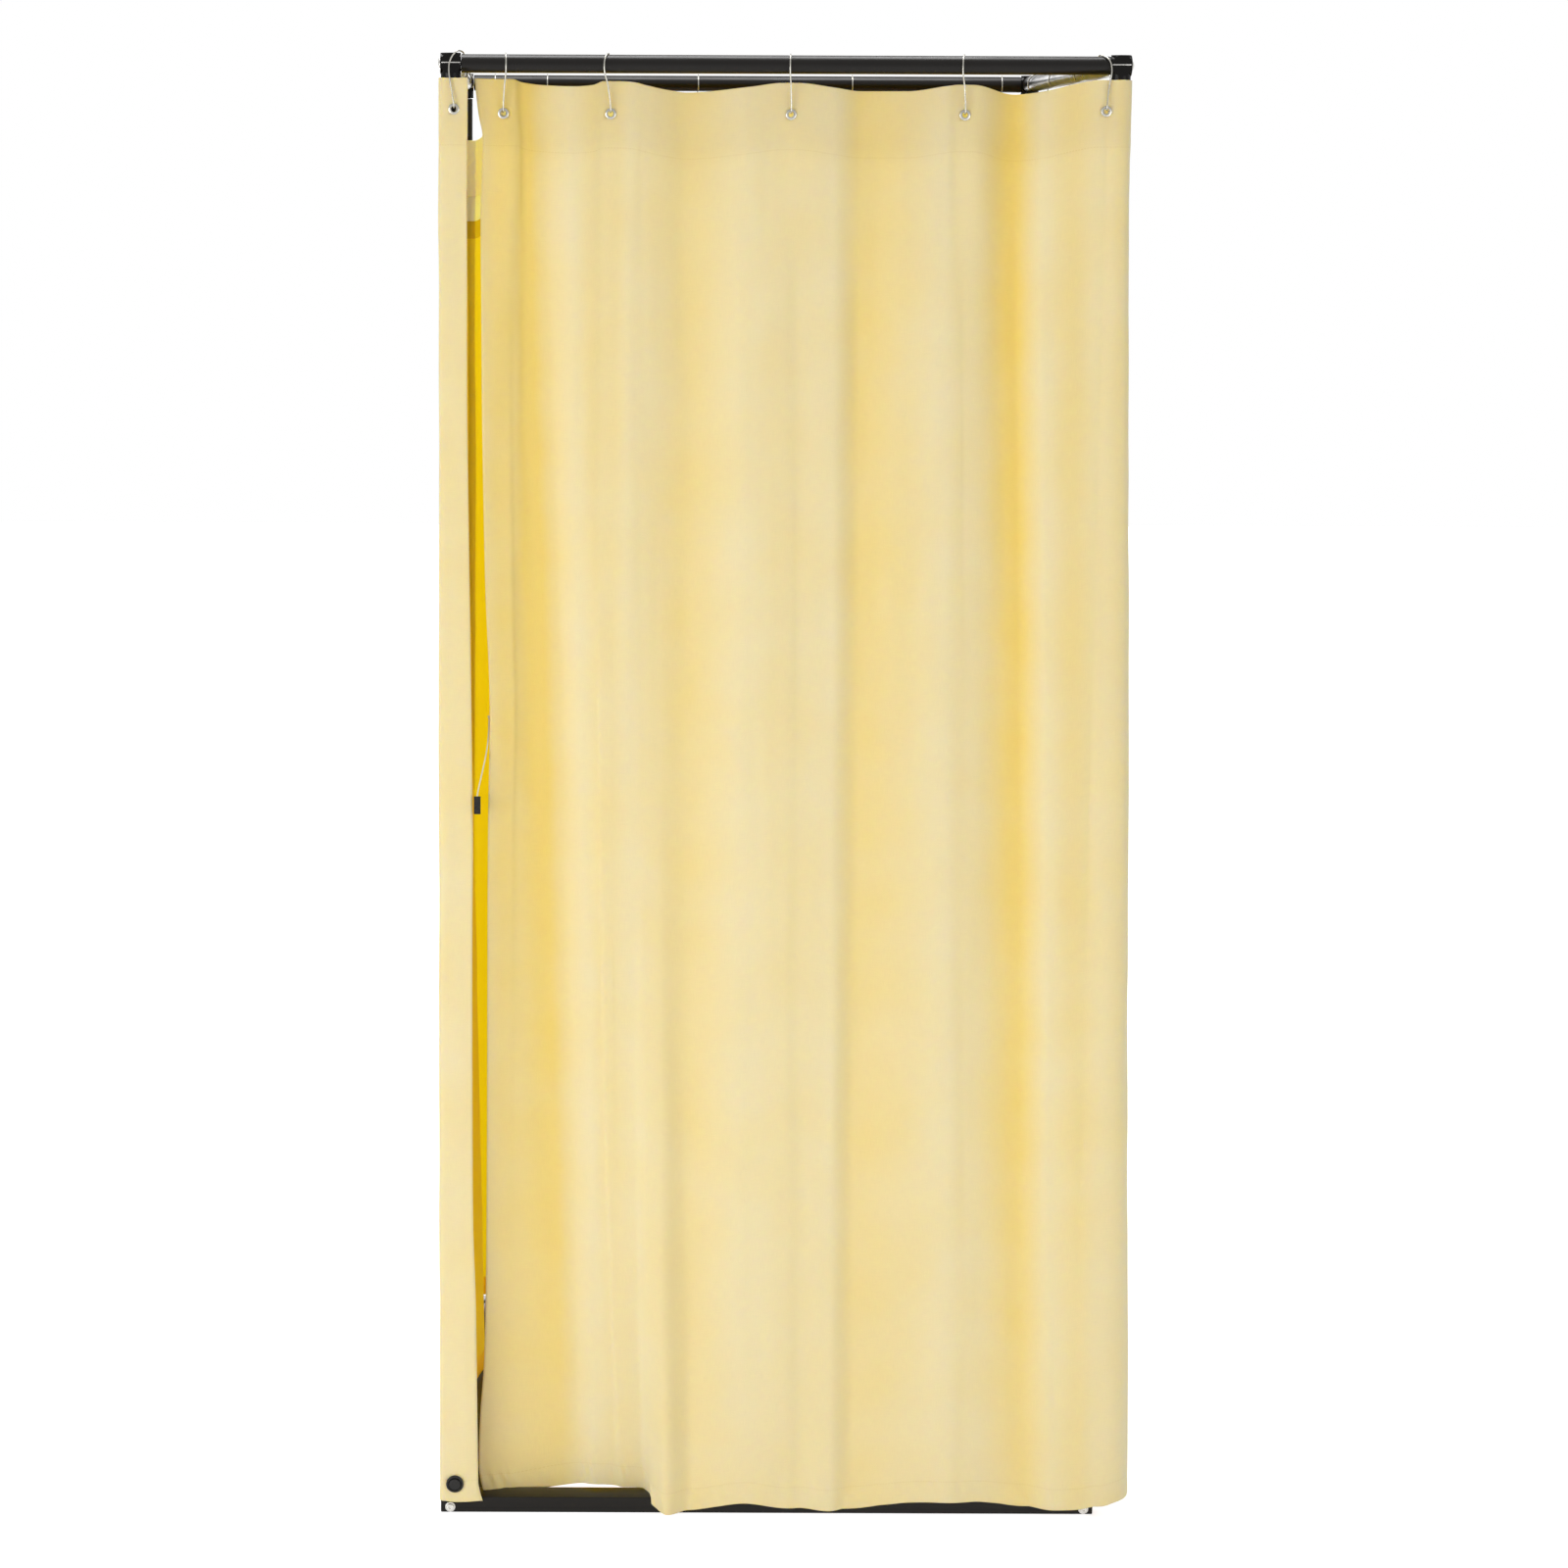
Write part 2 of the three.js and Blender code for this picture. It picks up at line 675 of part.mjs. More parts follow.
function addFrontPanel(side) {
  const holes = frontHooks.map(({ along, out, drop }) => {
    const near = onSide(side, along, out - foldDepth / 4, drop);
    const far = onSide(side, along, out + foldDepth / 4, drop);
    return solidOf(barBetween(near, far, punchedHole, eyeletSides));
  });
  addPiece(side, "curtain_front", geometryOf(cutBy(solidOf(panelGeometry(side, frontLines())), holes)), creamCloth);
}

// How far each front hook's bow and shank lean along the rail from its eyelet, in shares of the bow's radius
const frontLeanShares = [
  [0.19, 0.23],
  [-0.19, -0.58],
  [-0.1, -0.19],
  [-0.13, -0.35],
  [-0.52, 0.35],
];

function addFrontHooks(side) {
  frontHooks.forEach((hook, k) => {
    const [topLean, shankLean] = frontLeanShares[k].map((share) => share * hookBend);
    const points = hookPoints(side, hook.along, hook.out, hook.drop, topLean, shankLean);
    addHook(side, `front_hook_${k + 1}`, points);
    addEyelet(side, `front_eyelet_${k + 1}`, hook.along, hook.out, hook.drop);
  });
}

// A cutter for a hole through cloth that hangs square to a side's own plane
function punchedThrough(place) {
  const past = new THREE.Vector3(foldDepth / 4, 0, 0);
  return solidOf(barBetween(place.clone().sub(past), place.clone().add(past), punchedHole, eyeletSides));
}

// The left panel ends in a narrow strip that goes round the front left corner. In its own side's frame the front
// corner is at the far end of the rail.

const stripOut = 20; // from the front rail's plane out to the strip
const stripEdgeShare = 0.948; // of the way from the middle to the post, to the strip's free edge
const stripEdgeHemShare = 0.892;
const stripHookShare = 0.99;
const sideHookShares = [-0.834, -0.307, 0.261, 0.77]; // from the front post to the back one
const backHookShares = [-0.9, -0.371, 0.174, 0.708, 0.8925];
const sideFoldShares = [
  [0.2, 0.3, 0.2, 0.4],
  [0.42, -0.4, -0.7, 0.9],
  [0.62, -0.1, -0.4, 0.9],
  [0.82, 0.35, 0.5, 0.3],
];
const sideSag = 12;

function stillHook(along) {
  return { along, out: clothOut, hemOut: clothOut, drop: eyeletDrop, hem: hemOverBase, leastHem: hemOverBase - clearance };
}

function stillLines(hooks, folds, sag) {
  const lines = flatLines(hooks[0]);
  for (let k = 1; k < hooks.length; k++) {
    lines.push(...foldLines(hooks[k - 1], hooks[k], folds, sag), ...flatLines(hooks[k]));
  }
  return lines;
}

// A line of cloth that hangs straight down, with its place in plan and its hem
function plumbLine(along, out, hem, below = clothTop) {
  return { top: [along, out], bottom: [along, out], below, hem };
}

// The cloth at a post, where it goes round the outside
function cornerLines(halfAlong, way) {
  const lines = [
    plumbLine(way * (halfAlong - 2 * jointOuter), (clothOut + cornerOut) / 3, hemOverBase),
    plumbLine(way * (halfAlong - jointOuter), cornerOut * 0.9, hemOverBase),
    plumbLine(way * (halfAlong - jointRadius / 2), cornerOut, hemOverBase),
  ];
  return way < 0 ? lines.reverse() : lines;
}

// The back panel starts in a quarter turn round the outside of the back right post, where it meets the right panel
function roundPostLines(halfAlong) {
  const steps = 3;
  const lines = [plumbLine(-halfAlong - cornerOut, clearance - jointRadius / 2, hemOverBase)];
  for (let k = steps; k >= 0; k--) {
    const turn = ((k / steps) * Math.PI) / 2;
    lines.push(plumbLine(-halfAlong - cornerOut * Math.sin(turn), cornerOut * Math.cos(turn), hemOverBase));
  }
  return lines;
}

// At the back left post the cloth passes on the inside instead. It hangs loose there between the last hooks of the two
// panels, so its top droops. Each place is [from the post's axis back along its side, in shares of cornerOut, out, in
// shares of the fold's depth, share of the droop].

const cornerDroop = 67;
const backDroopShares = [1.85, 0.06, 0.5];
const leftDroopShares = [
  [1.47, 0, 1],
  [2.5, 0.1, 0.8],
  [4, -0.2, 0.3],
];

function droopLine(halfAlong, way, [back, out, droop]) {
  const along = way * (halfAlong - back * cornerOut);
  return plumbLine(along, out * foldDepth, hemOverBase, clothTop + droop * cornerDroop);
}

function insidePostLines(halfAlong) {
  const steps = 3;
  const lines = [droopLine(halfAlong, 1, backDroopShares)];
  for (let k = 0; k <= steps; k++) {
    const turn = ((k / steps) * Math.PI) / 2;
    const along = halfAlong - cornerOut * Math.cos(turn);
    lines.push(plumbLine(along, -cornerOut * Math.sin(turn), hemOverBase, clothTop + cornerDroop));
  }
  const nextPanel = leftDroopShares[0][0] * cornerOut;
  lines.push(plumbLine(halfAlong, clearance - nextPanel, hemOverBase, clothTop + cornerDroop));
  return lines;
}

function stripLines() {
  const across = -halfX;
  const topEdge = stripEdgeShare * halfX;
  const hemEdge = stripEdgeHemShare * halfX;
  const front = halfY + stripOut;
  const bend = jointRadius / 2;
  const low = hemHeight - cloth;
  return [
    plumbLine(halfY - jointOuter / 2, cornerOut, hemOverBase, cornerTop),
    plumbLine(halfY, cornerOut, hemHeight, cornerTop),
    plumbLine(front - bend, cornerOut, low, cornerTop),
    plumbLine(front - bend / 4, cornerOut - bend / 4, low, cornerTop),
    plumbLine(front, cornerOut - bend, low, cornerTop),
    { top: [front, across + topEdge], bottom: [front, across + hemEdge], below: cornerTop, hem: hemHeight },
  ];
}

function addLeftPanel(side) {
  const hooks = sideHookShares.map((share) => stillHook(-share * halfY)).reverse();
  const lines = [
    ...leftDroopShares.map((shares) => droopLine(halfY, -1, shares)),
    ...stillLines(hooks, sideFoldShares, sideSag),
    plumbLine(halfY - 2 * jointOuter, (clothOut + cornerOut) / 2, hemOverBase),
    ...stripLines(),
  ];
  const places = hooks.map(({ along, out, drop }) => ({ along, out, drop }));
  const panel = withEyelets(side, panelGeometry(side, lines), places);
  const stripEyelet = onSide(side, halfY + stripOut, (stripHookShare - 1) * halfX, cornerEyeletDrop);
  const hole = punchedThrough(stripEyelet);
  addPiece(side, "curtain_left", geometryOf(panel.subtract(hole)), creamCloth);
}

function addBackPanel(side) {
  const hooks = backHookShares.map((share) => stillHook(share * halfX));
  const lines = [
    ...roundPostLines(halfX),
    ...cornerLines(halfX, -1).slice(0, 1),
    ...stillLines(hooks.slice(0, 4), sideFoldShares, sideSag),
    ...foldLines(hooks[3], hooks[4], [[0.5, 0.5, 0.6, 0.3]], sideSag),
    ...flatLines(hooks[4]),
    ...insidePostLines(halfX),
  ];
  const places = hooks.map(({ along, out, drop }) => ({ along, out, drop }));
  addPiece(side, "curtain_back", geometryOf(withEyelets(side, panelGeometry(side, lines), places)), creamCloth);
}

// The right panel starts at the last front hook, goes round the corner and flares out at its foot

const flare = 50; // how far the hem stands out past the base at the front right corner
const frontParting = frontHookShares[4] * halfX - halfX + clearance / 2; // out from the right rail's plane

// The cloth round the front right corner. Each line is [towards the front and out at the top, in shares of cornerOut,
// towards the front at the hem, in shares of cornerFootOut, out at the hem past the base, in shares of the flare, and
// the hem's height in shares of hemHeight].
const roundCornerShares = [
  [1.13, 0.12, 0.94, 0.35, 0.9],
  [0.95, 0.62, 0.6, 0.73, 1.1],
  [0.6, 0.88, 0.07, 0.93, 1.3],
  [0, 1, -0.6, 1, 1.4],
  [-0.87, 1, -1.5, 0.85, 1.35],
  [-1.75, 0.9, -2.5, 0.39, 1.35],
];

function frontCornerLines() {
  const front = -halfY;
  const atHook = front - cornerHookOut;
  const atFoot = front - cornerFootOut;
  const hem = (share) => share * hemHeight;
  const lines = [
    { top: [atHook, frontParting], bottom: [atFoot, frontParting], hem: hem(0.5) },
    { top: [atHook, frontParting + eyeletFlat / 2], bottom: [atFoot, jointRadius / 2], hem: hem(0.75) },
  ];
  for (const [ahead, out, footAhead, footOut, height] of roundCornerShares) {
    lines.push({
      top: [front - ahead * cornerOut, out * cornerOut],
      bottom: [front - footAhead * cornerFootOut, outsideBar + footOut * flare],
      hem: hem(height),
    });
  }
  lines.push({
    top: [front + 2 * jointOuter, cornerOut / 2],
    bottom: [front + 3 * cornerFootOut, outsideBar + cloth],
    hem: hemOverBase,
  });
  return lines.map((line) => ({ below: cornerTop, ...line }));
}

function addRightPanel(side) {
  const hooks = sideHookShares.map((share) => stillHook(share * halfY));
  hooks[0].hemShift = 2 * foldDepth;
  const lines = [
    ...frontCornerLines(),
    ...stillLines(hooks, sideFoldShares, sideSag),
    ...cornerLines(halfY, 1),
  ];
  const places = hooks.map(({ along, out, drop }) => ({ along, out, drop }));
  const panel = withEyelets(side, panelGeometry(side, lines), places);
  const lastHook = onSide(side, -halfY - cornerHookOut, frontHookShares[4] * halfX - halfX, cornerEyeletDrop);
  addPiece(side, "curtain_right", geometryOf(panel.subtract(punchedThrough(lastHook))), creamCloth);
}

// The strip's hook sits on the corner joint, so its bow is wider and leans to the right. Its bow goes through places
// along, out and above the rail's axis, and its shank through places on the way down to the eyelet: the share of the
// way down, the share of the way out, and the lean. All but the ways are shares of the bow's radius.
const stripBowShares = [
  [0.97, -1, -0.26],
  [0.94, -0.93, 0.26],
  [0.84, -0.6, 0.71],
  [0.71, -0.15, 0.955],
  [0.55, 0.35, 1.03],
  [0.32, 0.75, 1.03],
  [0.06, 1, 0.84],
  [-0.19, 1.05, 0.52],
  [-0.39, 1.05, 0],
];
const stripShankShares = [
  [0.17, 0.38, -0.42],
  [0.36, 0.78, -0.355],
  [0.65, 0.9, -0.19],
  [0.88, 1.02, -0.065],
];

function addStripHook(side) {
  const along = -stripHookShare * halfX;
  const points = stripBowShares.map(([lean, out, above]) =>
    onSide(side, along + lean * hookBend, out * hookBend, -above * hookBend),
  );
  const shankOut = stripBowShares[stripBowShares.length - 1][1] * hookBend;
  for (const [way, outward, lean] of stripShankShares) {
    const out = THREE.MathUtils.lerp(shankOut, stripOut + turnWidth / 2, outward);
    points.push(onSide(side, along + lean * hookBend, out, way * (cornerEyeletDrop - turnHeight)));
  }
  points.push(...lowerTurn(side, along, stripOut, cornerEyeletDrop));
  addHook(side, "strip_hook", points);
  addEyelet(side, "strip_eyelet", along, stripOut, cornerEyeletDrop);
}

function addStillHooks(side, name, shares, halfAlong) {
  shares.forEach((share, k) => {
    const along = share * halfAlong;
    const points = hookPoints(side, along, clothOut, eyeletDrop, 0, 0);
    addHook(side, `${name}_hook_${k + 1}`, points, stillWireSides);
  });
}

// Magnetic button on the strip's foot: an outer half with a raised boss and a flat backing half behind the cloth

function addMagnet(side) {
  const along = -stripHookShare * halfX + cloth;
  const front = onSide(side, along, stripOut + cloth / 2 + clearance, railHeight - magnetHeight);
  const behind = onSide(side, along, stripOut - cloth / 2 - clearance, railHeight - magnetHeight);
  const outward = new THREE.Vector3(0, -1, 0);
  const edge = magnetThickness / 5;
  const button = [
    [0, 0],
    [magnetWidth / 2, 0],
    [magnetWidth / 2, magnetThickness - edge],
    [magnetWidth / 2 - edge, magnetThickness],
    [magnetBossWidth / 2, magnetThickness],
    [magnetBossWidth / 2, magnetThickness + magnetBossHeight - edge],
    [magnetBossWidth / 2 - edge, magnetThickness + magnetBossHeight],
    [0, magnetThickness + magnetBossHeight],
  ];
  const backing = [
    [0, -magnetThickness],
    [magnetWidth / 2, -magnetThickness],
    [magnetWidth / 2, 0],
    [0, 0],
  ];
  addPiece(side, "magnet_button", turned(button, magnetSides, front, outward), blackPlastic);
  addPiece(side, "magnet_backing", turned(backing, magnetSides, behind, outward), blackPlastic);
}

// Closing cord: a short loose cord from the front panel's edge down to a clip that holds it to the strip's edge.
// Its points are places along the rail, out from the rail's plane and up from the floor.

const cordRoute = [
  [-385.4, -9.4, 1107],
  [-385.5, -8.6, 1099],
  [-385.9, -5.2, 1087],
  [-387.3, 1.2, 1071],
  [-390, 8.6, 1055],
  [-393.6, 15.4, 1039],
  [-397, 20.6, 1024],
  [-399.6, 22.9, 1012],
  [-400.6, 23.1, 1005.2],
];

function addClosingCord(side) {
  const points = cordRoute.map(([along, out, height]) => onSide(side, along, out, railHeight - height));
  addPiece(side, "closing_cord", wireThrough(points, cordThickness, cordSides), creamCord);
  const [along, , height] = cordRoute[cordRoute.length - 1];
  const top = height - clearance;
  const inner = stripOut + cloth / 2 + clearance;
  const low = onSide(side, along - clipWidth / 2, inner + clipDepth, railHeight - top + clipHeight);
  const high = onSide(side, along + clipWidth / 2, inner, railHeight - top);
  const body = solidOf(boxBetween(low, high));
  const slotLow = onSide(side, along - clipWidth / 5, inner + clipDepth + overrun, railHeight - top + clipHeight * 0.8);
  const slotHigh = onSide(side, along + clipWidth / 5, inner + clipDepth / 2, railHeight - top + clipHeight * 0.35);
  addPiece(side, "cord_clip", geometryOf(body.subtract(solidOf(boxBetween(slotLow, slotHigh)))), blackPlastic);
}

addRails();
for (const corner of corners) {
  addPost(corner);
  addCornerJoint(corner);
  addCornerBolt(corner);
  addBaseBolt(corner);
}
addCrossBar("base_front_bar", -1);
addCrossBar("base_back_bar", 1);
addRunner("base_left_runner", -1);
addRunner("base_right_runner", 1);

const frontSide = addSide(0, halfY);
const rightSide = addSide(1, halfX);
const backSide = addSide(2, halfY);
const leftSide = addSide(3, halfX);
addFrontPanel(frontSide);
addFrontHooks(frontSide);
addStripHook(frontSide);
addMagnet(frontSide);
addClosingCord(frontSide);
addRightPanel(rightSide);
addStillHooks(rightSide, "right", sideHookShares, halfY);
addBackPanel(backSide);
addStillHooks(backSide, "back", backHookShares, halfX);
addLeftPanel(leftSide);
addStillHooks(leftSide, "left", sideHookShares.map((share) => -share), halfY);

// The origin is the middle of the underside of the box that holds the whole object
room.updateMatrixWorld(true);
const wholeBox = new THREE.Box3().setFromObject(room);
const middle = wholeBox.getCenter(new THREE.Vector3());
room.position.set(-middle.x, -middle.y, 0);

export default room;
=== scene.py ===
# %% [markdown]
# # A portable fitting room
# A square ring of black tube stands on four posts and a flat base. A cream curtain hangs all round it on wire hooks.
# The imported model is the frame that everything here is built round, so this first cell loads it and measures it. Sizes
# below are written in millimetres from the middle of the ring, and `at` turns them into metres in the model's frame.

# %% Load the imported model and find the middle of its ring
import math
from bisect import bisect_right

import bmesh
import bpy
from mathutils import Matrix, Vector, noise


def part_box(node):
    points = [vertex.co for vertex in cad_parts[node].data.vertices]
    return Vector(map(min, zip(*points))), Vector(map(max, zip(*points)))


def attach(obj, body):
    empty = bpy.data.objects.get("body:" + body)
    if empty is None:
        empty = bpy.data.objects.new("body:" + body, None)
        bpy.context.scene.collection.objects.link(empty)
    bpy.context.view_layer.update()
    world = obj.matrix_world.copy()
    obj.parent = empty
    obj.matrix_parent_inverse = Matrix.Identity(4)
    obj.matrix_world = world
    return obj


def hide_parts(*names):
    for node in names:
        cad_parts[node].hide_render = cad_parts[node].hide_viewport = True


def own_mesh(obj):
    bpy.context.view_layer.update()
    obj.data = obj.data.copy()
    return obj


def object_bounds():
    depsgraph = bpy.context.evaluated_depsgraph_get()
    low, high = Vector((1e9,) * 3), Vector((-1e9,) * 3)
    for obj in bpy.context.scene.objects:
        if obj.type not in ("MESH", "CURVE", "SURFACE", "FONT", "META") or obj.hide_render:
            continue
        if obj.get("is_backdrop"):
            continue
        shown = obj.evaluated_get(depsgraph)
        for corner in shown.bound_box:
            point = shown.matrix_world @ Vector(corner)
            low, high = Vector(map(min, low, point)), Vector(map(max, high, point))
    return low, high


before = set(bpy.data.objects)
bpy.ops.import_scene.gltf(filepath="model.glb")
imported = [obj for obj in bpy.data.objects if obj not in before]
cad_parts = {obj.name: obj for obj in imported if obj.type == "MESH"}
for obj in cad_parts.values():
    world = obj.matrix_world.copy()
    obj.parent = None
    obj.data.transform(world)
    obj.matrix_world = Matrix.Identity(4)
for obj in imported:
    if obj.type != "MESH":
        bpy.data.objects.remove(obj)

MM = 0.001
cad_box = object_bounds()
front_rail_low, front_rail_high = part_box("front_rail")
left_rail_low, left_rail_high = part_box("left_rail")
right_rail_low, right_rail_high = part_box("right_rail")
middle_x = (front_rail_low.x + front_rail_high.x) / 2
middle_y = (left_rail_low.y + left_rail_high.y) / 2
half = ((right_rail_low.x + right_rail_high.x) / 2 - middle_x) / MM  # from the middle to a rail's axis
rail_height = (front_rail_low.z + front_rail_high.z) / 2 / MM
tube_radius = (front_rail_high.z - front_rail_low.z) / 2 / MM


def at(x, y, z):
    """A place in millimetres from the middle of the ring, as a point in the model's frame."""
    return Vector((middle_x + x * MM, middle_y + y * MM, z * MM))


print(f"half {half:.2f} mm, rails at {rail_height:.1f} mm, tube radius {tube_radius:.2f} mm")

# %% [markdown]
# ## The camera
# The photograph was taken from about five metres away, with a long lens, from a little left of the middle and just
# below the rails' height. The camera could be turned towards the room, but then its upright edges would lean. A camera
# that looks straight ahead and is shifted sideways keeps them as they are in the photograph.

# %% Camera
camera_place = at(-318.8, -5126.1, 1811.9)
camera_pitch = math.radians(90 - 8.468)
camera_roll = math.radians(0.21)
camera_data = bpy.data.cameras.new("photo_camera")
camera_data.sensor_width = 36
camera_data.lens = 81.3
camera_data.shift_x = 0.1564
camera_data.shift_y = -0.0449
camera_data.clip_end = 60
camera = bpy.data.objects.new("photo_camera", camera_data)
bpy.context.scene.collection.objects.link(camera)
turned_up = Matrix.Rotation(camera_pitch, 4, "X") @ Matrix.Rotation(camera_roll, 4, "Z")
camera.matrix_world = Matrix.Translation(camera_place) @ turned_up
bpy.context.scene.camera = camera
print("camera at", [round(c, 3) for c in camera.matrix_world.translation])

# %% [markdown]
# ## Wires and cords
# A hook is a bent wire and the closing cord is a thin soft line. Both are one ring of points carried along a smooth
# path. A curve object with a round bevel would give the same tube, but a mesh keeps its own UV map, on which a pattern
# can follow the length. The path is a curve through a few points, and the ring turns with it as little as it can, so
# that the pattern isn't twisted.


# %% A smooth path, and a tube that follows it
def smooth_path(points, steps):
    """A Catmull-Rom curve through points, with this many steps between two of them."""
    ends = [points[0] * 2 - points[1], *points, points[-1] * 2 - points[-2]]
    path = []
    for k in range(1, len(ends) - 2):
        p0, p1, p2, p3 = ends[k - 1 : k + 3]
        t1 = math.sqrt((p1 - p0).length)
        t2 = t1 + math.sqrt((p2 - p1).length)
        t3 = t2 + math.sqrt((p3 - p2).length)
        for step in range(steps):
            t = t1 + (t2 - t1) * step / steps
            a1 = p0.lerp(p1, t / t1)
            a2 = p1.lerp(p2, (t - t1) / (t2 - t1))
            a3 = p2.lerp(p3, (t - t2) / (t3 - t2))
            b1 = a1.lerp(a2, t / t2)
            b2 = a2.lerp(a3, (t - t1) / (t3 - t1))
            path.append(b1.lerp(b2, (t - t1) / (t2 - t1)))
    return [*path, points[-1].copy()]


def path_length(path):
    return sum((b - a).length for a, b in zip(path, path[1:]))


sharp_angle = math.radians(38)  # faces that meet at more than this keep a sharp edge between them


def finished_mesh(bm, name, merge=1e-7):
    """Turns a bmesh into an object with its doubles merged and its faces pointing outwards."""
    bmesh.ops.remove_doubles(bm, verts=bm.verts, dist=merge)
    bmesh.ops.recalc_face_normals(bm, faces=bm.faces)
    mesh = bpy.data.meshes.new(name)
    bm.to_mesh(mesh)
    bm.free()
    mesh.shade_smooth()
    mesh.set_sharp_from_angle(angle=sharp_angle)
    piece = bpy.data.objects.new(name, mesh)
    bpy.context.scene.collection.objects.link(piece)
    return piece


end_rounding = 0.35  # how much of a tube's radius its rounded ends take


def tube_along(name, path, radius, sides):
    """A round tube along a path, with rounded ends and a UV map in metres: round it, and along it."""
    bm = bmesh.new()
    uv_layer = bm.loops.layers.uv.new("UVMap")
    ring = bmesh.ops.create_circle(bm, segments=sides, radius=radius)["verts"]
    tangents = [(path[min(k + 1, len(path) - 1)] - path[max(k - 1, 0)]).normalized() for k in range(len(path))]
    turn = Vector((0, 0, 1)).rotation_difference(tangents[0])
    bmesh.ops.rotate(bm, verts=ring, cent=(0, 0, 0), matrix=turn.to_matrix())
    bmesh.ops.translate(bm, verts=ring, vec=path[0])
    first_ring = list(ring)
    edges = list({edge for vert in ring for edge in vert.link_edges})
    length = 0
    for k in range(1, len(path)):
        grown = bmesh.ops.extrude_edge_only(bm, edges=edges)["geom"]
        ring = [part for part in grown if isinstance(part, bmesh.types.BMVert)]
        edges = [part for part in grown if isinstance(part, bmesh.types.BMEdge) and all(v in ring for v in part.verts)]
        bmesh.ops.translate(bm, verts=ring, vec=path[k] - path[k - 1])
        bend = tangents[k - 1].rotation_difference(tangents[k])
        bmesh.ops.rotate(bm, verts=ring, cent=path[k], matrix=bend.to_matrix())
        step = (path[k] - path[k - 1]).length
        for face in {face for vert in ring for face in vert.link_faces}:
            for n, loop in enumerate(face.loops):
                far = loop.vert in ring
                loop[uv_layer].uv = ((n % 2) * MM, length + (step if far else 0))
        length += step
    for end_ring, outward in ((first_ring, -tangents[0]), (ring, tangents[-1])):
        end_edges = [edge for edge in bm.edges if edge.is_boundary and all(v in end_ring for v in edge.verts)]
        cap = bmesh.ops.contextual_create(bm, geom=end_edges)["faces"]
        bmesh.ops.inset_region(bm, faces=cap, thickness=radius * end_rounding, depth=0)
        bmesh.ops.translate(bm, verts=cap[0].verts, vec=outward * radius * end_rounding)
    return finished_mesh(bm, name)


# %% [markdown]
# ## The closing cord
# A short soft cord leaves the front panel's free edge half way up and runs down to a clip, which hangs beside the
# narrow strip's edge. It is so short that all of it shows, so its route is the one in the photograph. It hangs
# free between its two ends, bows a little under its own weight, and comes forward from behind the strip. A small tack
# of thread holds its upper end on the panel.

# %% Closing cord, its tack and its clip
cord_route = [
    (-385.4, -9.4, 1107),
    (-385.5, -8.6, 1099),
    (-385.9, -5.2, 1087),
    (-387.3, 1.2, 1071),
    (-390, 8.6, 1055),
    (-393.6, 15.4, 1039),
    (-397, 20.6, 1024),
    (-399.6, 22.9, 1012),
    (-400.6, 23.1, 1005.2),
]  # along the front rail, out from its plane, and up from the floor
cord_thickness = 2


def on_front(along, out, z):
    """A place on the front side: along the rail, out from the rail's plane, and up from the floor."""
    return at(along, -(half + out), z)


cord_path = smooth_path([on_front(*place) for place in cord_route], 3)
cord = tube_along("cord_closing", cord_path, cord_thickness / 2 * MM, 12)
print(f"cord {path_length(cord_path) / MM:.1f} mm long, {len(cord_path)} points")


# %% A box with rounded edges, for bars, the clip and the tack
def rounded_box(name, low, high, round_edge, segments=3, between=None):
    """A box from one corner to the other. between(bm) may cut or inset it before its edges are rounded."""
    bm = bmesh.new()
    size = high - low
    grown = bmesh.ops.create_cube(bm, size=1)
    bmesh.ops.scale(bm, verts=grown["verts"], vec=size)
    bmesh.ops.translate(bm, verts=grown["verts"], vec=(low + high) / 2)
    if between:
        between(bm)
    sharp = [edge for edge in bm.edges if edge.calc_face_angle(0) > math.radians(60)]
    bmesh.ops.bevel(
        bm, geom=sharp, offset=round_edge, offset_type="OFFSET", affect="EDGES", segments=segments, profile=0.5,
        material=-1, clamp_overlap=True,
    )
    return finished_mesh(bm, name)


clip_low, clip_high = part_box("cord_clip")


def recess_clip(bm):
    """The clip's front face has a sunken panel, in which the thumb ridges stand."""
    front = min(bm.faces, key=lambda face: face.calc_center_median().y)
    bmesh.ops.inset_individual(bm, faces=[front], thickness=1.5 * MM, depth=-1.2 * MM)


clip = rounded_box("clip_on_cord", clip_low, clip_high, 0.55 * MM, between=recess_clip)
ridge_low = Vector((clip_low.x + 1.9 * MM, clip_low.y + 0.25 * MM, clip_low.z + 5 * MM))
ridge_high = Vector((clip_high.x - 1.9 * MM, clip_low.y + 1.8 * MM, clip_low.z + 7.2 * MM))
ridge_count = 4
ridge_spacing = 4
ridges = []
for k in range(ridge_count):
    lift = Vector((0, 0, k * ridge_spacing * MM))
    ridges.append(rounded_box(f"clip_ridge_{k + 1}", ridge_low + lift, ridge_high + lift, 0.4 * MM))
tack_top = cord_path[0]
tack = rounded_box(
    "cord_tack", tack_top + Vector((-1.9, -0.6, -1.2)) * MM, tack_top + Vector((1.9, 1.0, 2.6)) * MM, 0.7 * MM
)
print("clip", [round(c / MM, 1) for c in clip_high - clip_low])

# %% [markdown]
# ## Turned pieces
# Tubes, bolts, washers, eyelets and the magnetic button are all round. On the real object each is drawn, turned or
# pressed. A profile that is spun about an axis gives them all. The profile holds the small roundings at the edges,
# which is what makes an edge catch the light. A cylinder with a bevel modifier would do for a tube, but not for a
# domed head or a crimped rim.


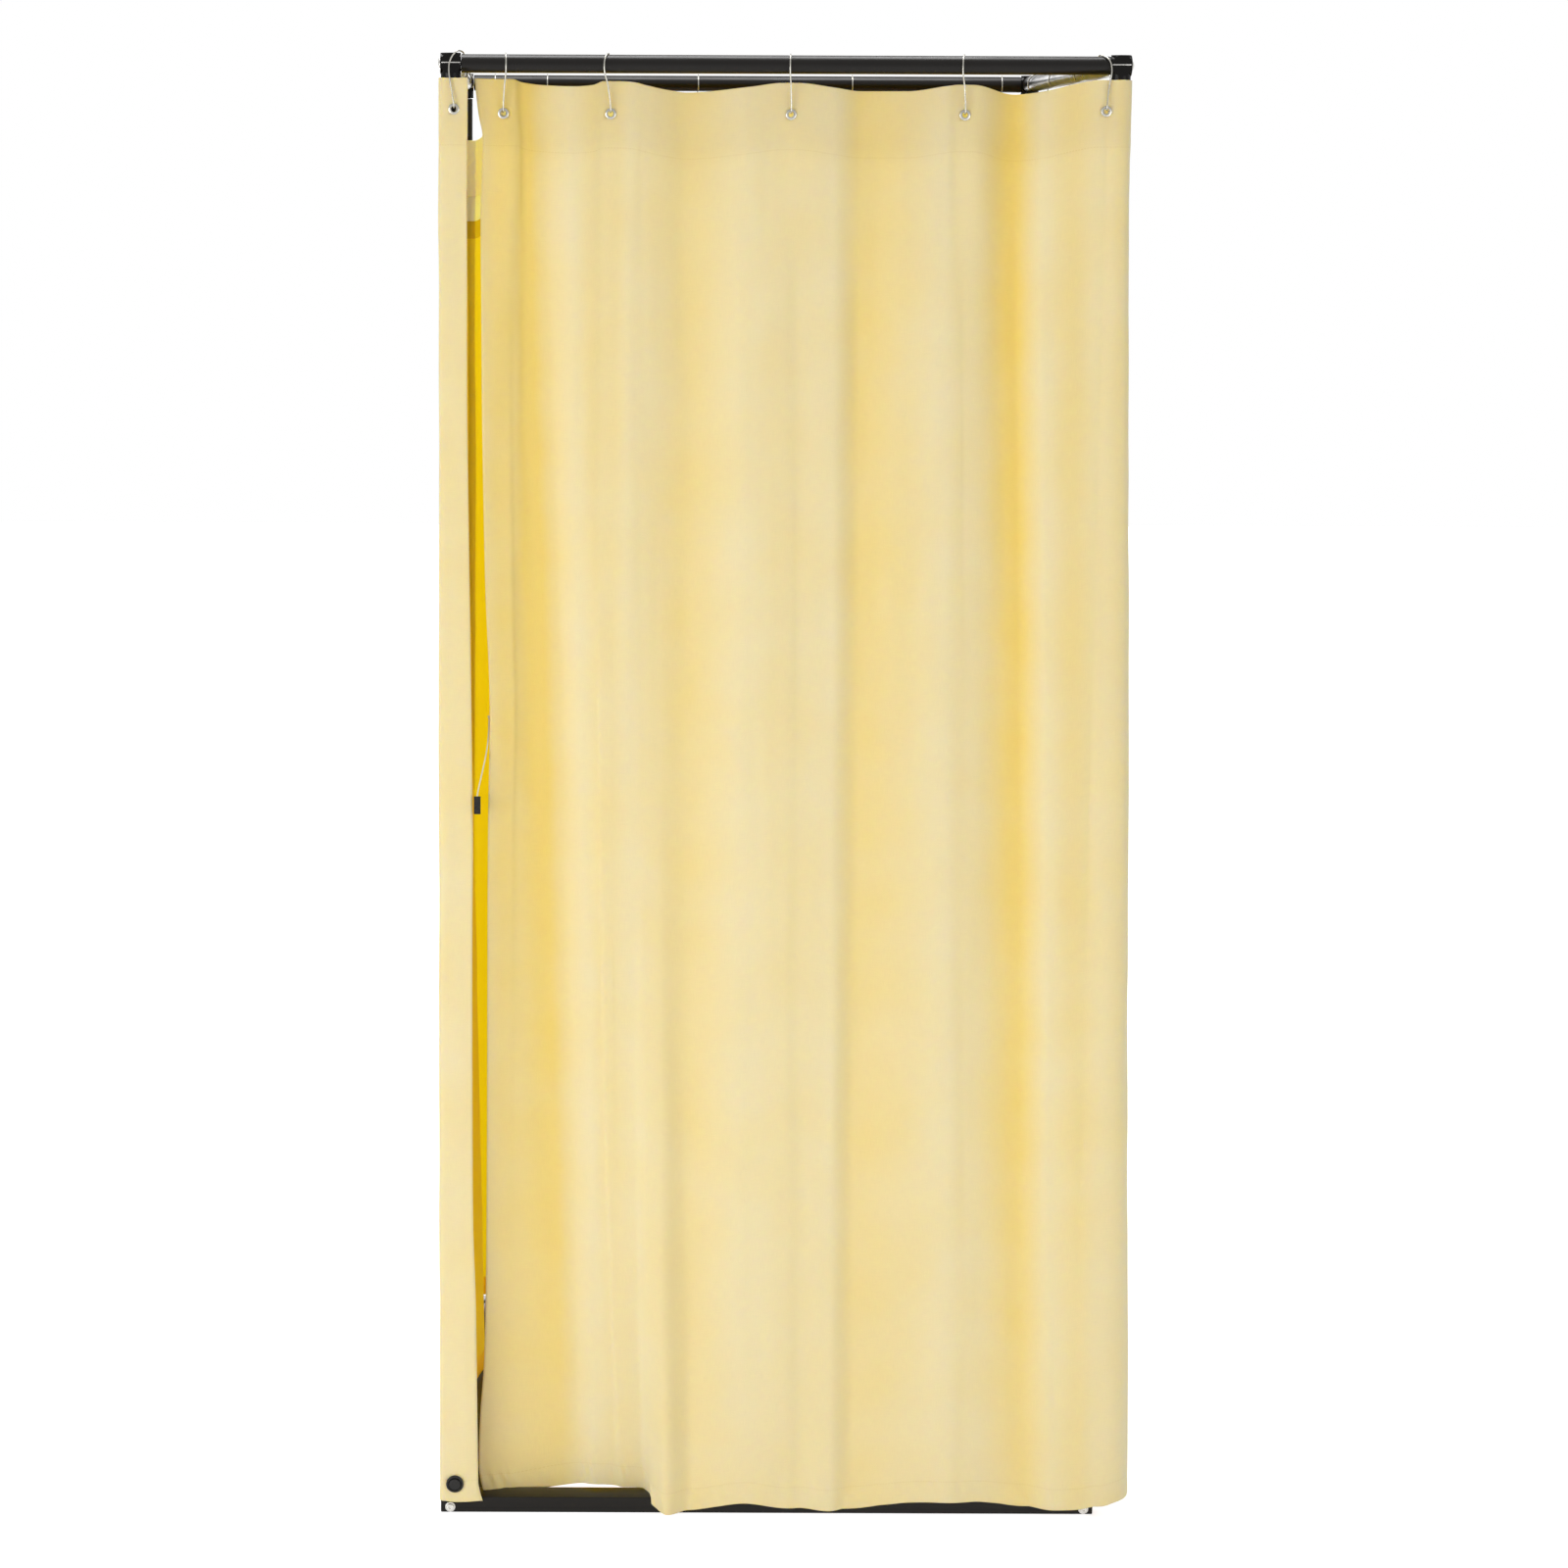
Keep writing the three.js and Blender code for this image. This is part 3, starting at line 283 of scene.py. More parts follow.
# %% A profile spun about an axis
def spun(name, profile, place, direction, steps=48, closed=False):
    """A profile of (radius, height) points in millimetres, turned about an axis that points in a direction."""
    bm = bmesh.new()
    verts = [bm.verts.new((radius * MM, 0, height * MM)) for radius, height in profile]
    edges = [bm.edges.new(pair) for pair in zip(verts, verts[1:])]
    if closed:
        edges.append(bm.edges.new((verts[-1], verts[0])))
    bmesh.ops.spin(
        bm, geom=[*verts, *edges], cent=(0, 0, 0), axis=(0, 0, 1), dvec=(0, 0, 0), angle=2 * math.pi, steps=steps,
        use_merge=True, use_normal_flip=False, use_duplicate=False,
    )
    turn = Vector((0, 0, 1)).rotation_difference(direction).to_matrix()
    bmesh.ops.rotate(bm, verts=bm.verts, cent=(0, 0, 0), matrix=turn)
    bmesh.ops.translate(bm, verts=bm.verts, vec=place)
    return finished_mesh(bm, name, merge=1e-6)


def rounded(corners, radius=0.3, steps=3):
    """Rounds the inner corners of a profile, each with a short arc."""
    points = [Vector(corner) for corner in corners]
    out = [tuple(points[0])]
    for before, here, after in zip(points, points[1:], points[2:]):
        reach = min(radius, (before - here).length / 2.2, (after - here).length / 2.2)
        start = here + (before - here).normalized() * reach
        end = here + (after - here).normalized() * reach
        for k in range(steps + 1):
            t = k / steps
            out.append(tuple(start.lerp(here, t).lerp(here.lerp(end, t), t)))
    return [*out, tuple(points[-1])]


# %% [markdown]
# ## Rails and posts
# The ring and the posts are thin steel tube with a black satin coat, cut square and slightly broken at the ends. Each
# is one closed wall, outside and inside, because the ends can be seen where the curtain is open.

# %% Rails and posts
tube_wall = 1.5
clearance = 0.3
joint_radius = 13.5
joint_down_arm = 24  # how far the joint's sleeve reaches down the post
base_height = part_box("base_left_runner")[1].z / MM
UP = Vector((0, 0, 1))


def tube_between(name, start, end):
    """A tube with a closed wall, from one end to the other."""
    length = (end - start).length / MM
    inner = tube_radius - tube_wall
    edge = 0.35
    profile = [
        (inner + edge, 0), (tube_radius - edge, 0), (tube_radius, edge), (tube_radius, length - edge),
        (tube_radius - edge, length), (inner + edge, length), (inner, length - edge), (inner, edge),
    ]
    return spun(name, profile, start, (end - start).normalized(), steps=64, closed=True)


rail_reach = half - joint_radius - clearance
tubes = {
    "front_rail": (at(-rail_reach, -half, rail_height), at(rail_reach, -half, rail_height)),
    "back_rail": (at(-rail_reach, half, rail_height), at(rail_reach, half, rail_height)),
    "left_rail": (at(-half, -rail_reach, rail_height), at(-half, rail_reach, rail_height)),
    "right_rail": (at(half, -rail_reach, rail_height), at(half, rail_reach, rail_height)),
}
corners = {"front_left": (-1, -1), "front_right": (1, -1), "back_left": (-1, 1), "back_right": (1, 1)}
for corner, (x, y) in corners.items():
    foot = at(x * half, y * half, base_height + clearance)
    tubes[f"corner_post_{corner}"] = (foot, at(x * half, y * half, rail_height - joint_down_arm - clearance))
satin_pieces = []
for node, (start, end) in tubes.items():
    piece = tube_between(f"tube_{node}", start, end)
    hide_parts(node)
    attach(piece, "frame")
    satin_pieces.append(piece)
print(len(tubes), "tubes")

# %% [markdown]
# ## Corner joints
# Three short sleeves meet at each corner: two round the rails and one round the post. The real joint is welded and
# ground before it is coated, so its edges are soft. Three cylinders are joined with Boolean modifiers, and a Bevel
# modifier rounds what is left sharp. A sculpted joint would look no different at this size.


# %% Corner joints
def cylinder_between(name, start, end, radius, segments=64):
    """A plain cylinder, as one sleeve of a joint."""
    bm = bmesh.new()
    along = end - start
    grown = bmesh.ops.create_cone(
        bm, cap_ends=True, cap_tris=False, segments=segments, radius1=radius, radius2=radius, depth=along.length
    )
    turn = UP.rotation_difference(along).to_matrix()
    bmesh.ops.rotate(bm, verts=grown["verts"], cent=(0, 0, 0), matrix=turn)
    bmesh.ops.translate(bm, verts=grown["verts"], vec=(start + end) / 2)
    return finished_mesh(bm, name)


def joined_solids(name, pieces):
    """The first piece with the others added to it, as a plain mesh."""
    body = pieces[0]
    for other in pieces[1:]:
        union = body.modifiers.new("join", "BOOLEAN")
        union.operation = "UNION"
        union.solver = "EXACT"
        union.object = other
    bpy.context.view_layer.update()
    evaluated = body.evaluated_get(bpy.context.evaluated_depsgraph_get())
    mesh = bpy.data.meshes.new_from_object(evaluated)
    mesh.name = name
    for piece in pieces:
        bpy.data.objects.remove(piece)
    joint = bpy.data.objects.new(name, mesh)
    bpy.context.scene.collection.objects.link(joint)
    return joint


def soften(piece, width, segments=3, angle=35):
    """Rounds a piece's sharp edges with a live bevel, and keeps its flat faces flat."""
    bevel = piece.modifiers.new("soft_edges", "BEVEL")
    bevel.width = width * MM
    bevel.segments = segments
    bevel.limit_method = "ANGLE"
    bevel.angle_limit = math.radians(angle)
    bevel.harden_normals = True
    return piece


gloss_pieces = []
for corner, (x, y) in corners.items():
    core = Vector((x * half, y * half, rail_height))
    arms = []
    for k, (arm_x, arm_y, arm_z, reach) in enumerate(
        [(-x, 0, 0, joint_radius), (0, -y, 0, joint_radius), (0, 0, -1, joint_down_arm)]
    ):
        inward = Vector((arm_x, arm_y, arm_z))
        outer = core - inward * joint_radius
        inner = core + inward * reach
        arms.append(cylinder_between(f"arm_{k}", at(*outer), at(*inner), joint_radius * MM))
    joint = soften(joined_solids(f"joint_{corner}", arms), 0.9)
    joint.data.shade_smooth()
    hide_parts(f"corner_joint_{corner}")
    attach(joint, "frame")
    gloss_pieces.append(joint)
print(len(gloss_pieces), "corner joints")

# %% [markdown]
# ## Bolts
# A domed bolt goes into the end of each corner joint, and a pan head on a washer holds each corner of the base. The
# dome is an arc in the profile, with a recess for the key in the middle, and the washer is a flat ring of its own. The
# front joints also show a bright line along their middle: a painted highlight. It could be painted on, but here it is
# a slim plated box set into the front face of each front joint only, which catches the light as metal does.

# %% Corner bolts and base bolts
bolt_dome = 3.6
bolt_head = 7
bolt_recess = 2.2  # radius of the recess for the key
dome_steps = 9
pan_height = 4.2
washer_profile = rounded([(3.3, 0), (6.9, 0), (6.9, 1.2), (3.3, 1.2), (3.3, 0)], 0.35)
pan_corners = [
    (0, -50), (2.8, -50), (3, -49), (3, 1.2), (5.2, 1.2), (5.2, 3), (4.2, pan_height), (1.8, pan_height), (1.8, 2.6),
    (0, 2.6),
]
pan_profile = rounded(pan_corners, 0.5)
steel_pieces = []
for corner, (x, y) in corners.items():
    seat = joint_radius + clearance
    place = at(x * (half + seat), y * half, rail_height)
    dome = [(bolt_recess, 1.3), (bolt_recess, bolt_dome * 0.93)]
    for k in range(dome_steps):
        angle = math.radians(20 + k * 8.75)
        dome.append((bolt_head * math.sin(angle), bolt_dome * max(math.cos(angle), 0.16)))
    profile = [(0, -16), (2.6, -16), (3, -15.5), (3, 0), (bolt_head - 0.3, 0), (bolt_head, 0.3)]
    profile += list(reversed(dome)) + [(0, 1.3)]
    bolt = spun(f"bolt_{corner}", profile, place, Vector((x, 0, 0)))
    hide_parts(f"corner_bolt_{corner}")
    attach(bolt, "frame")
    steel_pieces.append(bolt)
    base_low, base_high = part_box(f"base_bolt_{corner}")
    bolt_x = (base_low.x + base_high.x) / 2
    bolt_z = (base_low.z + base_high.z) / 2
    base_place = Vector((bolt_x, base_low.y if y < 0 else base_high.y, bolt_z))
    outward = Vector((0, y, 0))
    base_place -= outward * pan_height * MM
    head = spun(f"base_bolt_head_{corner}", pan_profile, base_place, outward)
    ring = spun(f"base_washer_{corner}", washer_profile, base_place, outward, closed=True)
    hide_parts(f"base_bolt_{corner}")
    for piece in (head, ring):
        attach(piece, "frame")
        steel_pieces.append(piece)
highlight_strip_proud = 0.15  # how far the painted-highlight strip stands out of the joint's face
highlight_strip_depth = 0.75
highlight_strip_bottom, highlight_strip_top = 0.5, 1.6  # above the rail's axis
# Painted highlight built as metal: a bright plated strip on the front face of each front joint only, for the bright
# line along the joint's middle.
for corner, x in (("front_left", -1), ("front_right", 1)):
    ends = sorted((x * (half + joint_radius - 1.5), x * (half - joint_radius + 1)))
    highlight_strip_face = -half - joint_radius - highlight_strip_proud
    low = at(ends[0], highlight_strip_face, rail_height + highlight_strip_bottom)
    high = at(ends[1], highlight_strip_face + highlight_strip_depth, rail_height + highlight_strip_top)
    highlight_strip = rounded_box(f"joint_painted_highlight_strip_{corner}", low, high, 0.2 * MM, 2)
    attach(highlight_strip, "frame")
    steel_pieces.append(highlight_strip)
print(len(steel_pieces), "bolts, washers and painted_highlight_strips")

# %% [markdown]
# ## Base
# Two cross bars and two runners lie flat on the floor. The real ones are flat steel tube, so their long edges are
# rounded, and their ends are closed. A box with four-step rounded edges is all that shows.

# %% Base bars
for node in ("base_front_bar", "base_back_bar", "base_left_runner", "base_right_runner"):
    low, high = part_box(node)
    high.z = base_height * MM
    bar = rounded_box(f"bar_{node}", low, high, 1.6 * MM, segments=4)
    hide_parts(node)
    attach(bar, "frame")
    satin_pieces.append(bar)
print(len(satin_pieces), "satin black pieces")

# %% [markdown]
# ## Hooks
# Each hook is one bent wire. Its bow lies over the rail, its shank comes down in front of the cloth, and a small turn
# goes through the eyelet and up behind it. The hooks in the photograph don't hang quite straight, so each has its own
# lean. The points are the same as in the solid model, and the curve between them is finer.

# %% Hooks: the route of the wire
wire = 2  # thickness of the wire
hook_bend = 15.5  # radius of the bow over the rail
turn_width = 8.8
turn_height = 6
eyelet_hole = 7
cloth_solid = 1.6  # thickness of the cloth in the solid model
bow_start, bow_step, bow_points = -120, 20, 11  # the bow's arc, in degrees


def side_place(side, along, out, below):
    """A place on one of the four sides. Sides go round to the left: 0 front, 1 right, 2 back, 3 left."""
    place = Matrix.Rotation(side * math.pi / 2, 3, "Z") @ Vector((along, -(half + out), 0))
    return at(place.x, place.y, rail_height - below)


def lower_turn(side, along, out, drop):
    """The small turn of wire that goes through the eyelet."""
    seat = drop - eyelet_hole / 2 + wire / 2 + 1.5 * clearance
    leg = turn_width / 2
    turn = [(leg, -4.5), (leg * 0.9, -wire), (2.4, 0), (-2.4, 0), (-leg * 0.9, -wire), (-leg, -turn_height)]
    return [side_place(side, along, out + outward, seat + lower) for outward, lower in turn]


def hook_route(side, along, out, drop, top_lean=0, shank_lean=0):
    """The route of a hook's wire: the bow over the rail, the shank down to the cloth, and the turn."""
    bow_centre = hook_bend - tube_radius - wire / 2 - clearance
    points = []
    for k in range(bow_points):
        angle = math.radians(bow_start + bow_step * k)
        lean = top_lean + (shank_lean - top_lean) * max(0, math.sin(angle))
        below = bow_centre - hook_bend * math.cos(angle)
        points.append(side_place(side, along + lean, hook_bend * math.sin(angle), below))
    before_cloth = out + cloth_solid / 2 + wire / 2 + 2 * clearance
    for share, left in ((0.15, 0.94), (0.42, 0.5), (0.78, 0.12)):
        below = bow_centre + (drop - turn_height - bow_centre) * share
        stand_off = max(out + turn_width / 2 + (hook_bend - out - turn_width / 2) * left, before_cloth)
        points.append(side_place(side, along + shank_lean * left, stand_off, below))
    return points + lower_turn(side, along, out, drop)


def strip_hook_route(along, out, drop):
    """The strip's hook hangs slanted across the corner joint, so its bow is given point by point."""
    bow = [
        (0.97, -1, -0.26), (0.94, -0.93, 0.26), (0.84, -0.6, 0.71), (0.71, -0.15, 0.955), (0.55, 0.35, 1.03),
        (0.32, 0.75, 1.03), (0.06, 1, 0.84), (-0.19, 1.05, 0.52), (-0.39, 1.05, 0),
    ]  # lean, out and above the axis, in shares of the bow's radius
    shank = [(0.17, 0.38, -0.42), (0.36, 0.78, -0.355), (0.65, 0.9, -0.19), (0.88, 1.02, -0.065)]
    points = [
        side_place(0, along + lean * hook_bend, outward * hook_bend, -above * hook_bend) for lean, outward, above in bow
    ]
    shank_out = bow[-1][1] * hook_bend
    for way, outward, lean in shank:
        stand_off = shank_out + (out + turn_width / 2 - shank_out) * outward
        points.append(side_place(0, along + lean * hook_bend, stand_off, way * (drop - turn_height)))
    return points + lower_turn(0, along, out, drop)


# %% Eyelets
def eyelet(name, side, along, out, drop):
    """A pressed ring: a barrel through the cloth with a domed flange on each face."""
    hole, barrel, rim = eyelet_hole / 2, eyelet_hole / 2 + 0.8, 7
    face = cloth_solid / 2 + clearance
    crown = face + 0.7
    front = [(hole, crown - 0.9), (hole + 0.15, crown - 0.35), (hole + 0.55, crown), (hole + 1.2, crown)]
    front += [(rim - 1.1, crown - 0.18), (rim - 0.35, crown - 0.42), (rim, face + 0.1), (rim - 0.15, face)]
    front += [(barrel, face)]
    profile = front + [(barrel, -face)] + [(radius, -height) for radius, height in reversed(front[:-1])]
    place = side_place(side, along, out, drop)
    outward = side_place(side, along, out + 1, drop) - place
    return spun(name, profile, place, outward.normalized(), closed=True)


# %% Place the hooks and eyelets
front_hooks = [
    (-367.97, 2, 64, 0.19, 0.23),
    (-227.85, 2, 64, -0.19, -0.58),
    (7.86, 2, 64, -0.1, -0.19),
    (234.84, 2, 64, -0.13, -0.35),
    (416.86, 18, 59, -0.52, 0.35),
]  # along, out, down to the eyelet, and the two leans in shares of the bow's radius
strip_hook = (-432.1, 20, 59)
still_out, still_drop = 2, 64  # of the hooks on the other three sides
side_hooks = [share * half for share in (-0.834, -0.307, 0.261, 0.77)]
back_hooks = [share * half for share in (-0.9, -0.371, 0.174, 0.708, 0.8925)]
still_hooks = {"right": (1, side_hooks), "back": (2, back_hooks), "left": (3, [-along for along in side_hooks])}
front_bodies = ["lead_hook", "second_hook", "third_hook", "fourth_hook", "frame"]
wire_pieces = []


def hook_piece(name, node, points, body):
    """A hook that stands for its node and rides on its body."""
    piece = tube_along(name, smooth_path(points, 5), wire / 2 * MM, 14)
    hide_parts(node)
    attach(piece, body)
    wire_pieces.append(piece)


def eyelet_piece(name, body, side, along, out, drop, node=None):
    """An eyelet on its body. Those of the front have nodes of their own."""
    piece = eyelet(name, side, along, out, drop)
    if node:
        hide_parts(node)
    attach(piece, body)
    wire_pieces.append(piece)


for k, (along, out, drop, top_lean, shank_lean) in enumerate(front_hooks, start=1):
    body = front_bodies[k - 1]
    route = hook_route(0, along, out, drop, top_lean * hook_bend, shank_lean * hook_bend)
    hook_piece(f"wire_front_{k}", f"front_hook_{k}", route, body)
    eyelet_piece(f"eyelet_front_{k}", body, 0, along, out, drop, f"front_eyelet_{k}")
hook_piece("wire_strip", "strip_hook", strip_hook_route(*strip_hook), "frame")
eyelet_piece("eyelet_strip", "frame", 0, *strip_hook, "strip_eyelet")
for name, (side, places) in still_hooks.items():
    for k, along in enumerate(places, start=1):
        route = hook_route(side, along, still_out, still_drop)
        hook_piece(f"wire_{name}_{k}", f"{name}_hook_{k}", route, "frame")
        eyelet_piece(f"eyelet_{name}_{k}", "frame", side, along, still_out, still_drop)
print(len(wire_pieces), "hooks and eyelets")

# %% [markdown]
# ## Magnetic button
# A round black button holds the strip's foot. Its outer half has a raised boss and pulls straight off, and a flat half
# sits behind the cloth. Both are spun, with rounded rims, and a shallow groove parts the boss from the rim.

# %% Magnetic button
magnet_low, magnet_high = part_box("magnet_button")
magnet_place = Vector(((magnet_low.x + magnet_high.x) / 2, magnet_high.y, (magnet_low.z + magnet_high.z) / 2))
button_profile = rounded(
    [(0, 0), (12, 0), (12, 2.6), (11, 3.2), (9.2, 3.2), (8.9, 1.4), (8, 1.4), (7.7, 4.2), (7, 4.6), (0, 4.4)], 0.45
)
button = spun("magnet_outer_half", button_profile, magnet_place, Vector((0, -1, 0)), steps=64)
backing_place = Vector((magnet_place.x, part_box("magnet_backing")[0].y, magnet_place.z))
backing = spun(
    "magnet_inner_half", rounded([(0, -3), (12, -3), (12, 0), (0, 0)], 0.6), backing_place, Vector((0, -1, 0)), steps=64
)
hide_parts("magnet_button")
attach(button, "magnet")
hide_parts("magnet_backing")
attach(backing, "frame")
plastic_pieces = [button, backing, clip, *ridges]
for piece in (clip, tack, cord, *ridges):
    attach(piece, "curtain_edge")
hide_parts("cord_clip")
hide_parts("closing_cord")
print("magnet at", [round(c / MM, 1) for c in magnet_place])

# %% [markdown]
# ## The curtain
# The curtain is cream cloth with a doubled band along the top, a hem at the foot and narrow hems at its free edges. It
# hangs from eyelets, so between two hooks it sags and falls into soft upright folds. A cloth simulation could drape it,
# but it wouldn't fall into the folds of the photograph. Here each panel starts as what it is cut from: a flat grid in
# metres, with the eyelet holes punched in it. Each column is then hung between upright key lines, one for each fold,
# read from the photograph: where the line is at the top, where it is at the hem, and how high its two ends are. Small
# wrinkles, puckers along the seams and a slow wander of the folds come on top.


# %% A smooth line through given places that never swings past them
def through(places, values):
    """A monotone cubic: it keeps a fold's ridge where the key line says, with no ripples between."""
    gaps = [b - a for a, b in zip(places, places[1:])]
    rises = [(b - a) / gap for a, b, gap in zip(values, values[1:], gaps)]
    slopes = [rises[0]]
    for k in range(1, len(rises)):
        before, after = rises[k - 1], rises[k]
        if before * after <= 0:
            slopes.append(0)
        else:
            w1, w2 = 2 * gaps[k] + gaps[k - 1], gaps[k] + 2 * gaps[k - 1]
            slopes.append((w1 + w2) / (w1 / before + w2 / after))
    slopes.append(rises[-1])

    def value(place):
        k = min(max(bisect_right(places, place) - 1, 0), len(gaps) - 1)
        t = min(max((place - places[k]) / gaps[k], 0), 1)
        h = gaps[k]
        return (
            values[k] * (1 + 2 * t) * (1 - t) ** 2
            + h * slopes[k] * t * (1 - t) ** 2
            + values[k + 1] * t * t * (3 - 2 * t)
            - h * slopes[k + 1] * t * t * (1 - t)
        )

    return value


def mixed(a, b, share):
    return a + (b - a) * share


def eased(share):
    share = min(max(share, 0), 1)
    return share * share * (3 - 2 * share)


# %% Key lines of the whole curtain
eyelet_flat = 9  # half the width of the flat of cloth round an eyelet
top_drop = 21  # how far the cloth's top hangs below the rail's axis, where nothing else is said
foot_rise = 20  # how far the hem of an unsagged panel is above the floor
fold = 20  # how far one full fold stands out
band = 86  # height of the doubled band along the top
hem = 30  # height of the doubled hem


def key_line(
    side, top_along, top_out, drop, hem_along, hem_out, hem_height, depth=0.3, swell=0, hook=0, wave=0, late=1
):
    """One key line: its plan at the top and at the hem, its two heights, how much painted fold shade the cloth there
    gets, how much further out it swells between them, how far down its hook's eyelet is, its share of the free edge's
    wave, and how late on the way down it turns from its top place to its foot's."""
    top = side_place(side, top_along, top_out, 0)
    foot = side_place(side, hem_along, hem_out, 0)
    return {
        "top": Vector(((top.x - middle_x) / MM, (top.y - middle_y) / MM)),
        "foot": Vector(((foot.x - middle_x) / MM, (foot.y - middle_y) / MM)),
        "drop": drop,
        "hem": hem_height,
        "depth": depth,
        "swell": swell,
        "hook": hook,
        "wave": wave,
        "late": late,
    }


def hook_lines(
    side, along, out, drop, hem_along, hem_out, hem_height, hook, slack=0, tilt=0, wave=0, swell=0, depth=0.2, late=1
):
    """Three lines that keep the cloth flat round an eyelet. Below it the flat may swell and tilt."""
    lines = []
    for way in (-1, 0, 1):
        reach = way * (eyelet_flat + slack)
        lines.append(
            key_line(
                side, along + way * eyelet_flat, out, drop, hem_along + reach, hem_out, hem_height, depth,
                swell=swell + way * tilt, hook=hook if way == 0 else 0, wave=wave * (1 - 0.1 * way), late=late,
            )
        )
    return lines


# The eighth number of each key line, and each depth=, is how much painted fold shade the cloth there gets: a darker
# yellow painted into the colour, not a shape.
front_lines = [
    key_line(0, -405.5, 5, 19.2, -389, -18, 14, 0.5, swell=9, wave=1),
    *hook_lines(0, -367.97, 2, 19.7, -356, -22, 13, 64, tilt=-4, wave=0.7, depth=0.8),
    key_line(0, -342, -5, 24, -284, -31, 22, 1.15, swell=-5, wave=0.3),
    key_line(0, -318, -6, 27, -262, -31, 25, 0.55, swell=-5, wave=0.1),
    key_line(0, -277, 4, 28.8, -237, -24, 27, 0.1, swell=1),
    key_line(0, -251, 4, 27, -208, -26, 25, 0.35, late=2),
    *hook_lines(0, -227.85, 2, 22, -192, -23, 23.5, 64, -3, depth=0.3, late=3),
    key_line(0, -202, 3, 22.7, -170, -21, 23.2, 0.1, swell=1, late=3),
    key_line(0, -179, 0, 27.5, -153, 17, 8, 0.2, swell=1, late=3),
    key_line(0, -158, -5, 32, -138, 33, 4, 0.3, late=2.5),
    key_line(0, -126, -11, 36, -104, 15, 5, 0.5, swell=-3, late=2),
    key_line(0, -46, 3, 28.5, -28, 22, 18, 0.05, swell=3),
    *hook_lines(0, 7.86, 2, 23.3, 36, 22, 10.5, 64, tilt=-2),
    key_line(0, 64, -1, 29, 84, 23, 7, 0.1),
    key_line(0, 100, -12, 33.5, 118, 14, 8, 0.62, swell=-4),
    key_line(0, 160, 0, 33.5, 195, 21, 19, 0.35),
    key_line(0, 212, 5, 26.5, 248, 27, 22, 0.05, swell=3),
    *hook_lines(0, 234.84, 2, 25, 273, 24, 21, 64, tilt=-3),
    key_line(0, 301, -18, 37, 352, 16, 12.4, 1, swell=-5),
    key_line(0, 338, 8, 33, 394, 28, 12, 0.1, swell=6),
    key_line(0, 376, 14, 24, 427, 30, 14, 0.5, swell=3),
    *hook_lines(0, 416.86, 18, 18.8, 456, 30, 18, 59, -4),
]
front_corner_lines = [
    key_line(0, 436, 17.6, 18.4, 478, 26, 22, 0.3),
    key_line(1, -451.2, 9.6, 18.6, -453, 55, 24, 0.2),
    key_line(1, -445.8, 13.6, 19, -438.6, 62, 26, 0.1),
    key_line(1, -436.5, 15.5, 19, -418.5, 64, 28, 0.1),
    key_line(1, -423, 15.5, 19, -391.5, 56, 27, 0.2),
    key_line(1, -409.4, 14, 19.5, -361.5, 33, 27, 0.4),
    key_line(1, -386, 5, 20.5, -340, 16, 27.5, 0.7),
]

# %% Key lines of the right, back and left sides
fold_shares = [(0.2, 0.3, 0.2, 0.4), (0.42, -0.4, -0.7, 0.9), (0.62, -0.1, -0.4, 0.9), (0.82, 0.35, 0.5, 0.3)]
short_shares = [(0.5, 0.5, 0.6, 0.3)]
inward_shares = [(0.1, -0.25, -2.1, 0.4), (0.26, -0.3, -1.9, 0.9), (0.72, -0.1, -0.3, 0.9), (0.88, 0.3, 0.4, 0.3)]
side_sag = 12
hem_over_base = base_height + 5


def still_lines(side, places, first_shift=0, inward=None):
    """The lines of a side whose cloth stays put: flats at the hooks, and four folds between each two. After one of
    the hooks, the folds may be the ones that swing well into the room."""
    lines = []
    for k, along in enumerate(places):
        shift = first_shift if k == 0 else 0
        lines += hook_lines(
            side, along, still_out, top_drop, along + shift, still_out, hem_over_base, still_drop
        )
        if k + 1 == len(places):
            break
        start, end = along + eyelet_flat, places[k + 1] - eyelet_flat
        shares = fold_shares if end - start > 4 * fold else short_shares
        if k == inward:
            shares = inward_shares
        for n, (way, top_out, hem_out, sag) in enumerate(shares):
            swing = noise.noise(Vector((side * 7.3, k * 3.1, n * 1.7))) * 0.5 + 1
            lines.append(
                key_line(
                    side,
                    mixed(start, end, way),
                    still_out + top_out * fold * swing,
                    top_drop + sag * side_sag * swing,
                    mixed(start + shift, end, way),
                    still_out + hem_out * fold * swing,
                    hem_over_base,
                    # painted fold shade: more where the fold lies further in
                    0.5 - top_out,
                )
            )
    return lines


corner_out = 15.5  # how far outside a post's axis the cloth goes round it
droop = 67  # how far the cloth's top hangs down in the back left corner, where no hook holds it


def plumb(side, along, out, drop=top_drop, hem_height=hem_over_base, depth=0.2, **more):
    """A line of cloth that hangs straight down."""
    return key_line(side, along, out, drop, along, out, hem_height, depth, **more)


def arc_round(side, way, inside=False, steps=4):
    """The cloth in a quarter turn round a post, outside it or inside it, in order away from the side's middle."""
    lines = []
    for k in range(steps + 1):
        turn = k / steps * math.pi / 2
        if inside:
            along, out = half - corner_out * math.cos(turn), -corner_out * math.sin(turn)
        else:
            along, out = half + corner_out * math.sin(turn), corner_out * math.cos(turn)
        lines.append(plumb(side, way * along, out, top_drop + (droop if inside else 0)))
    return lines


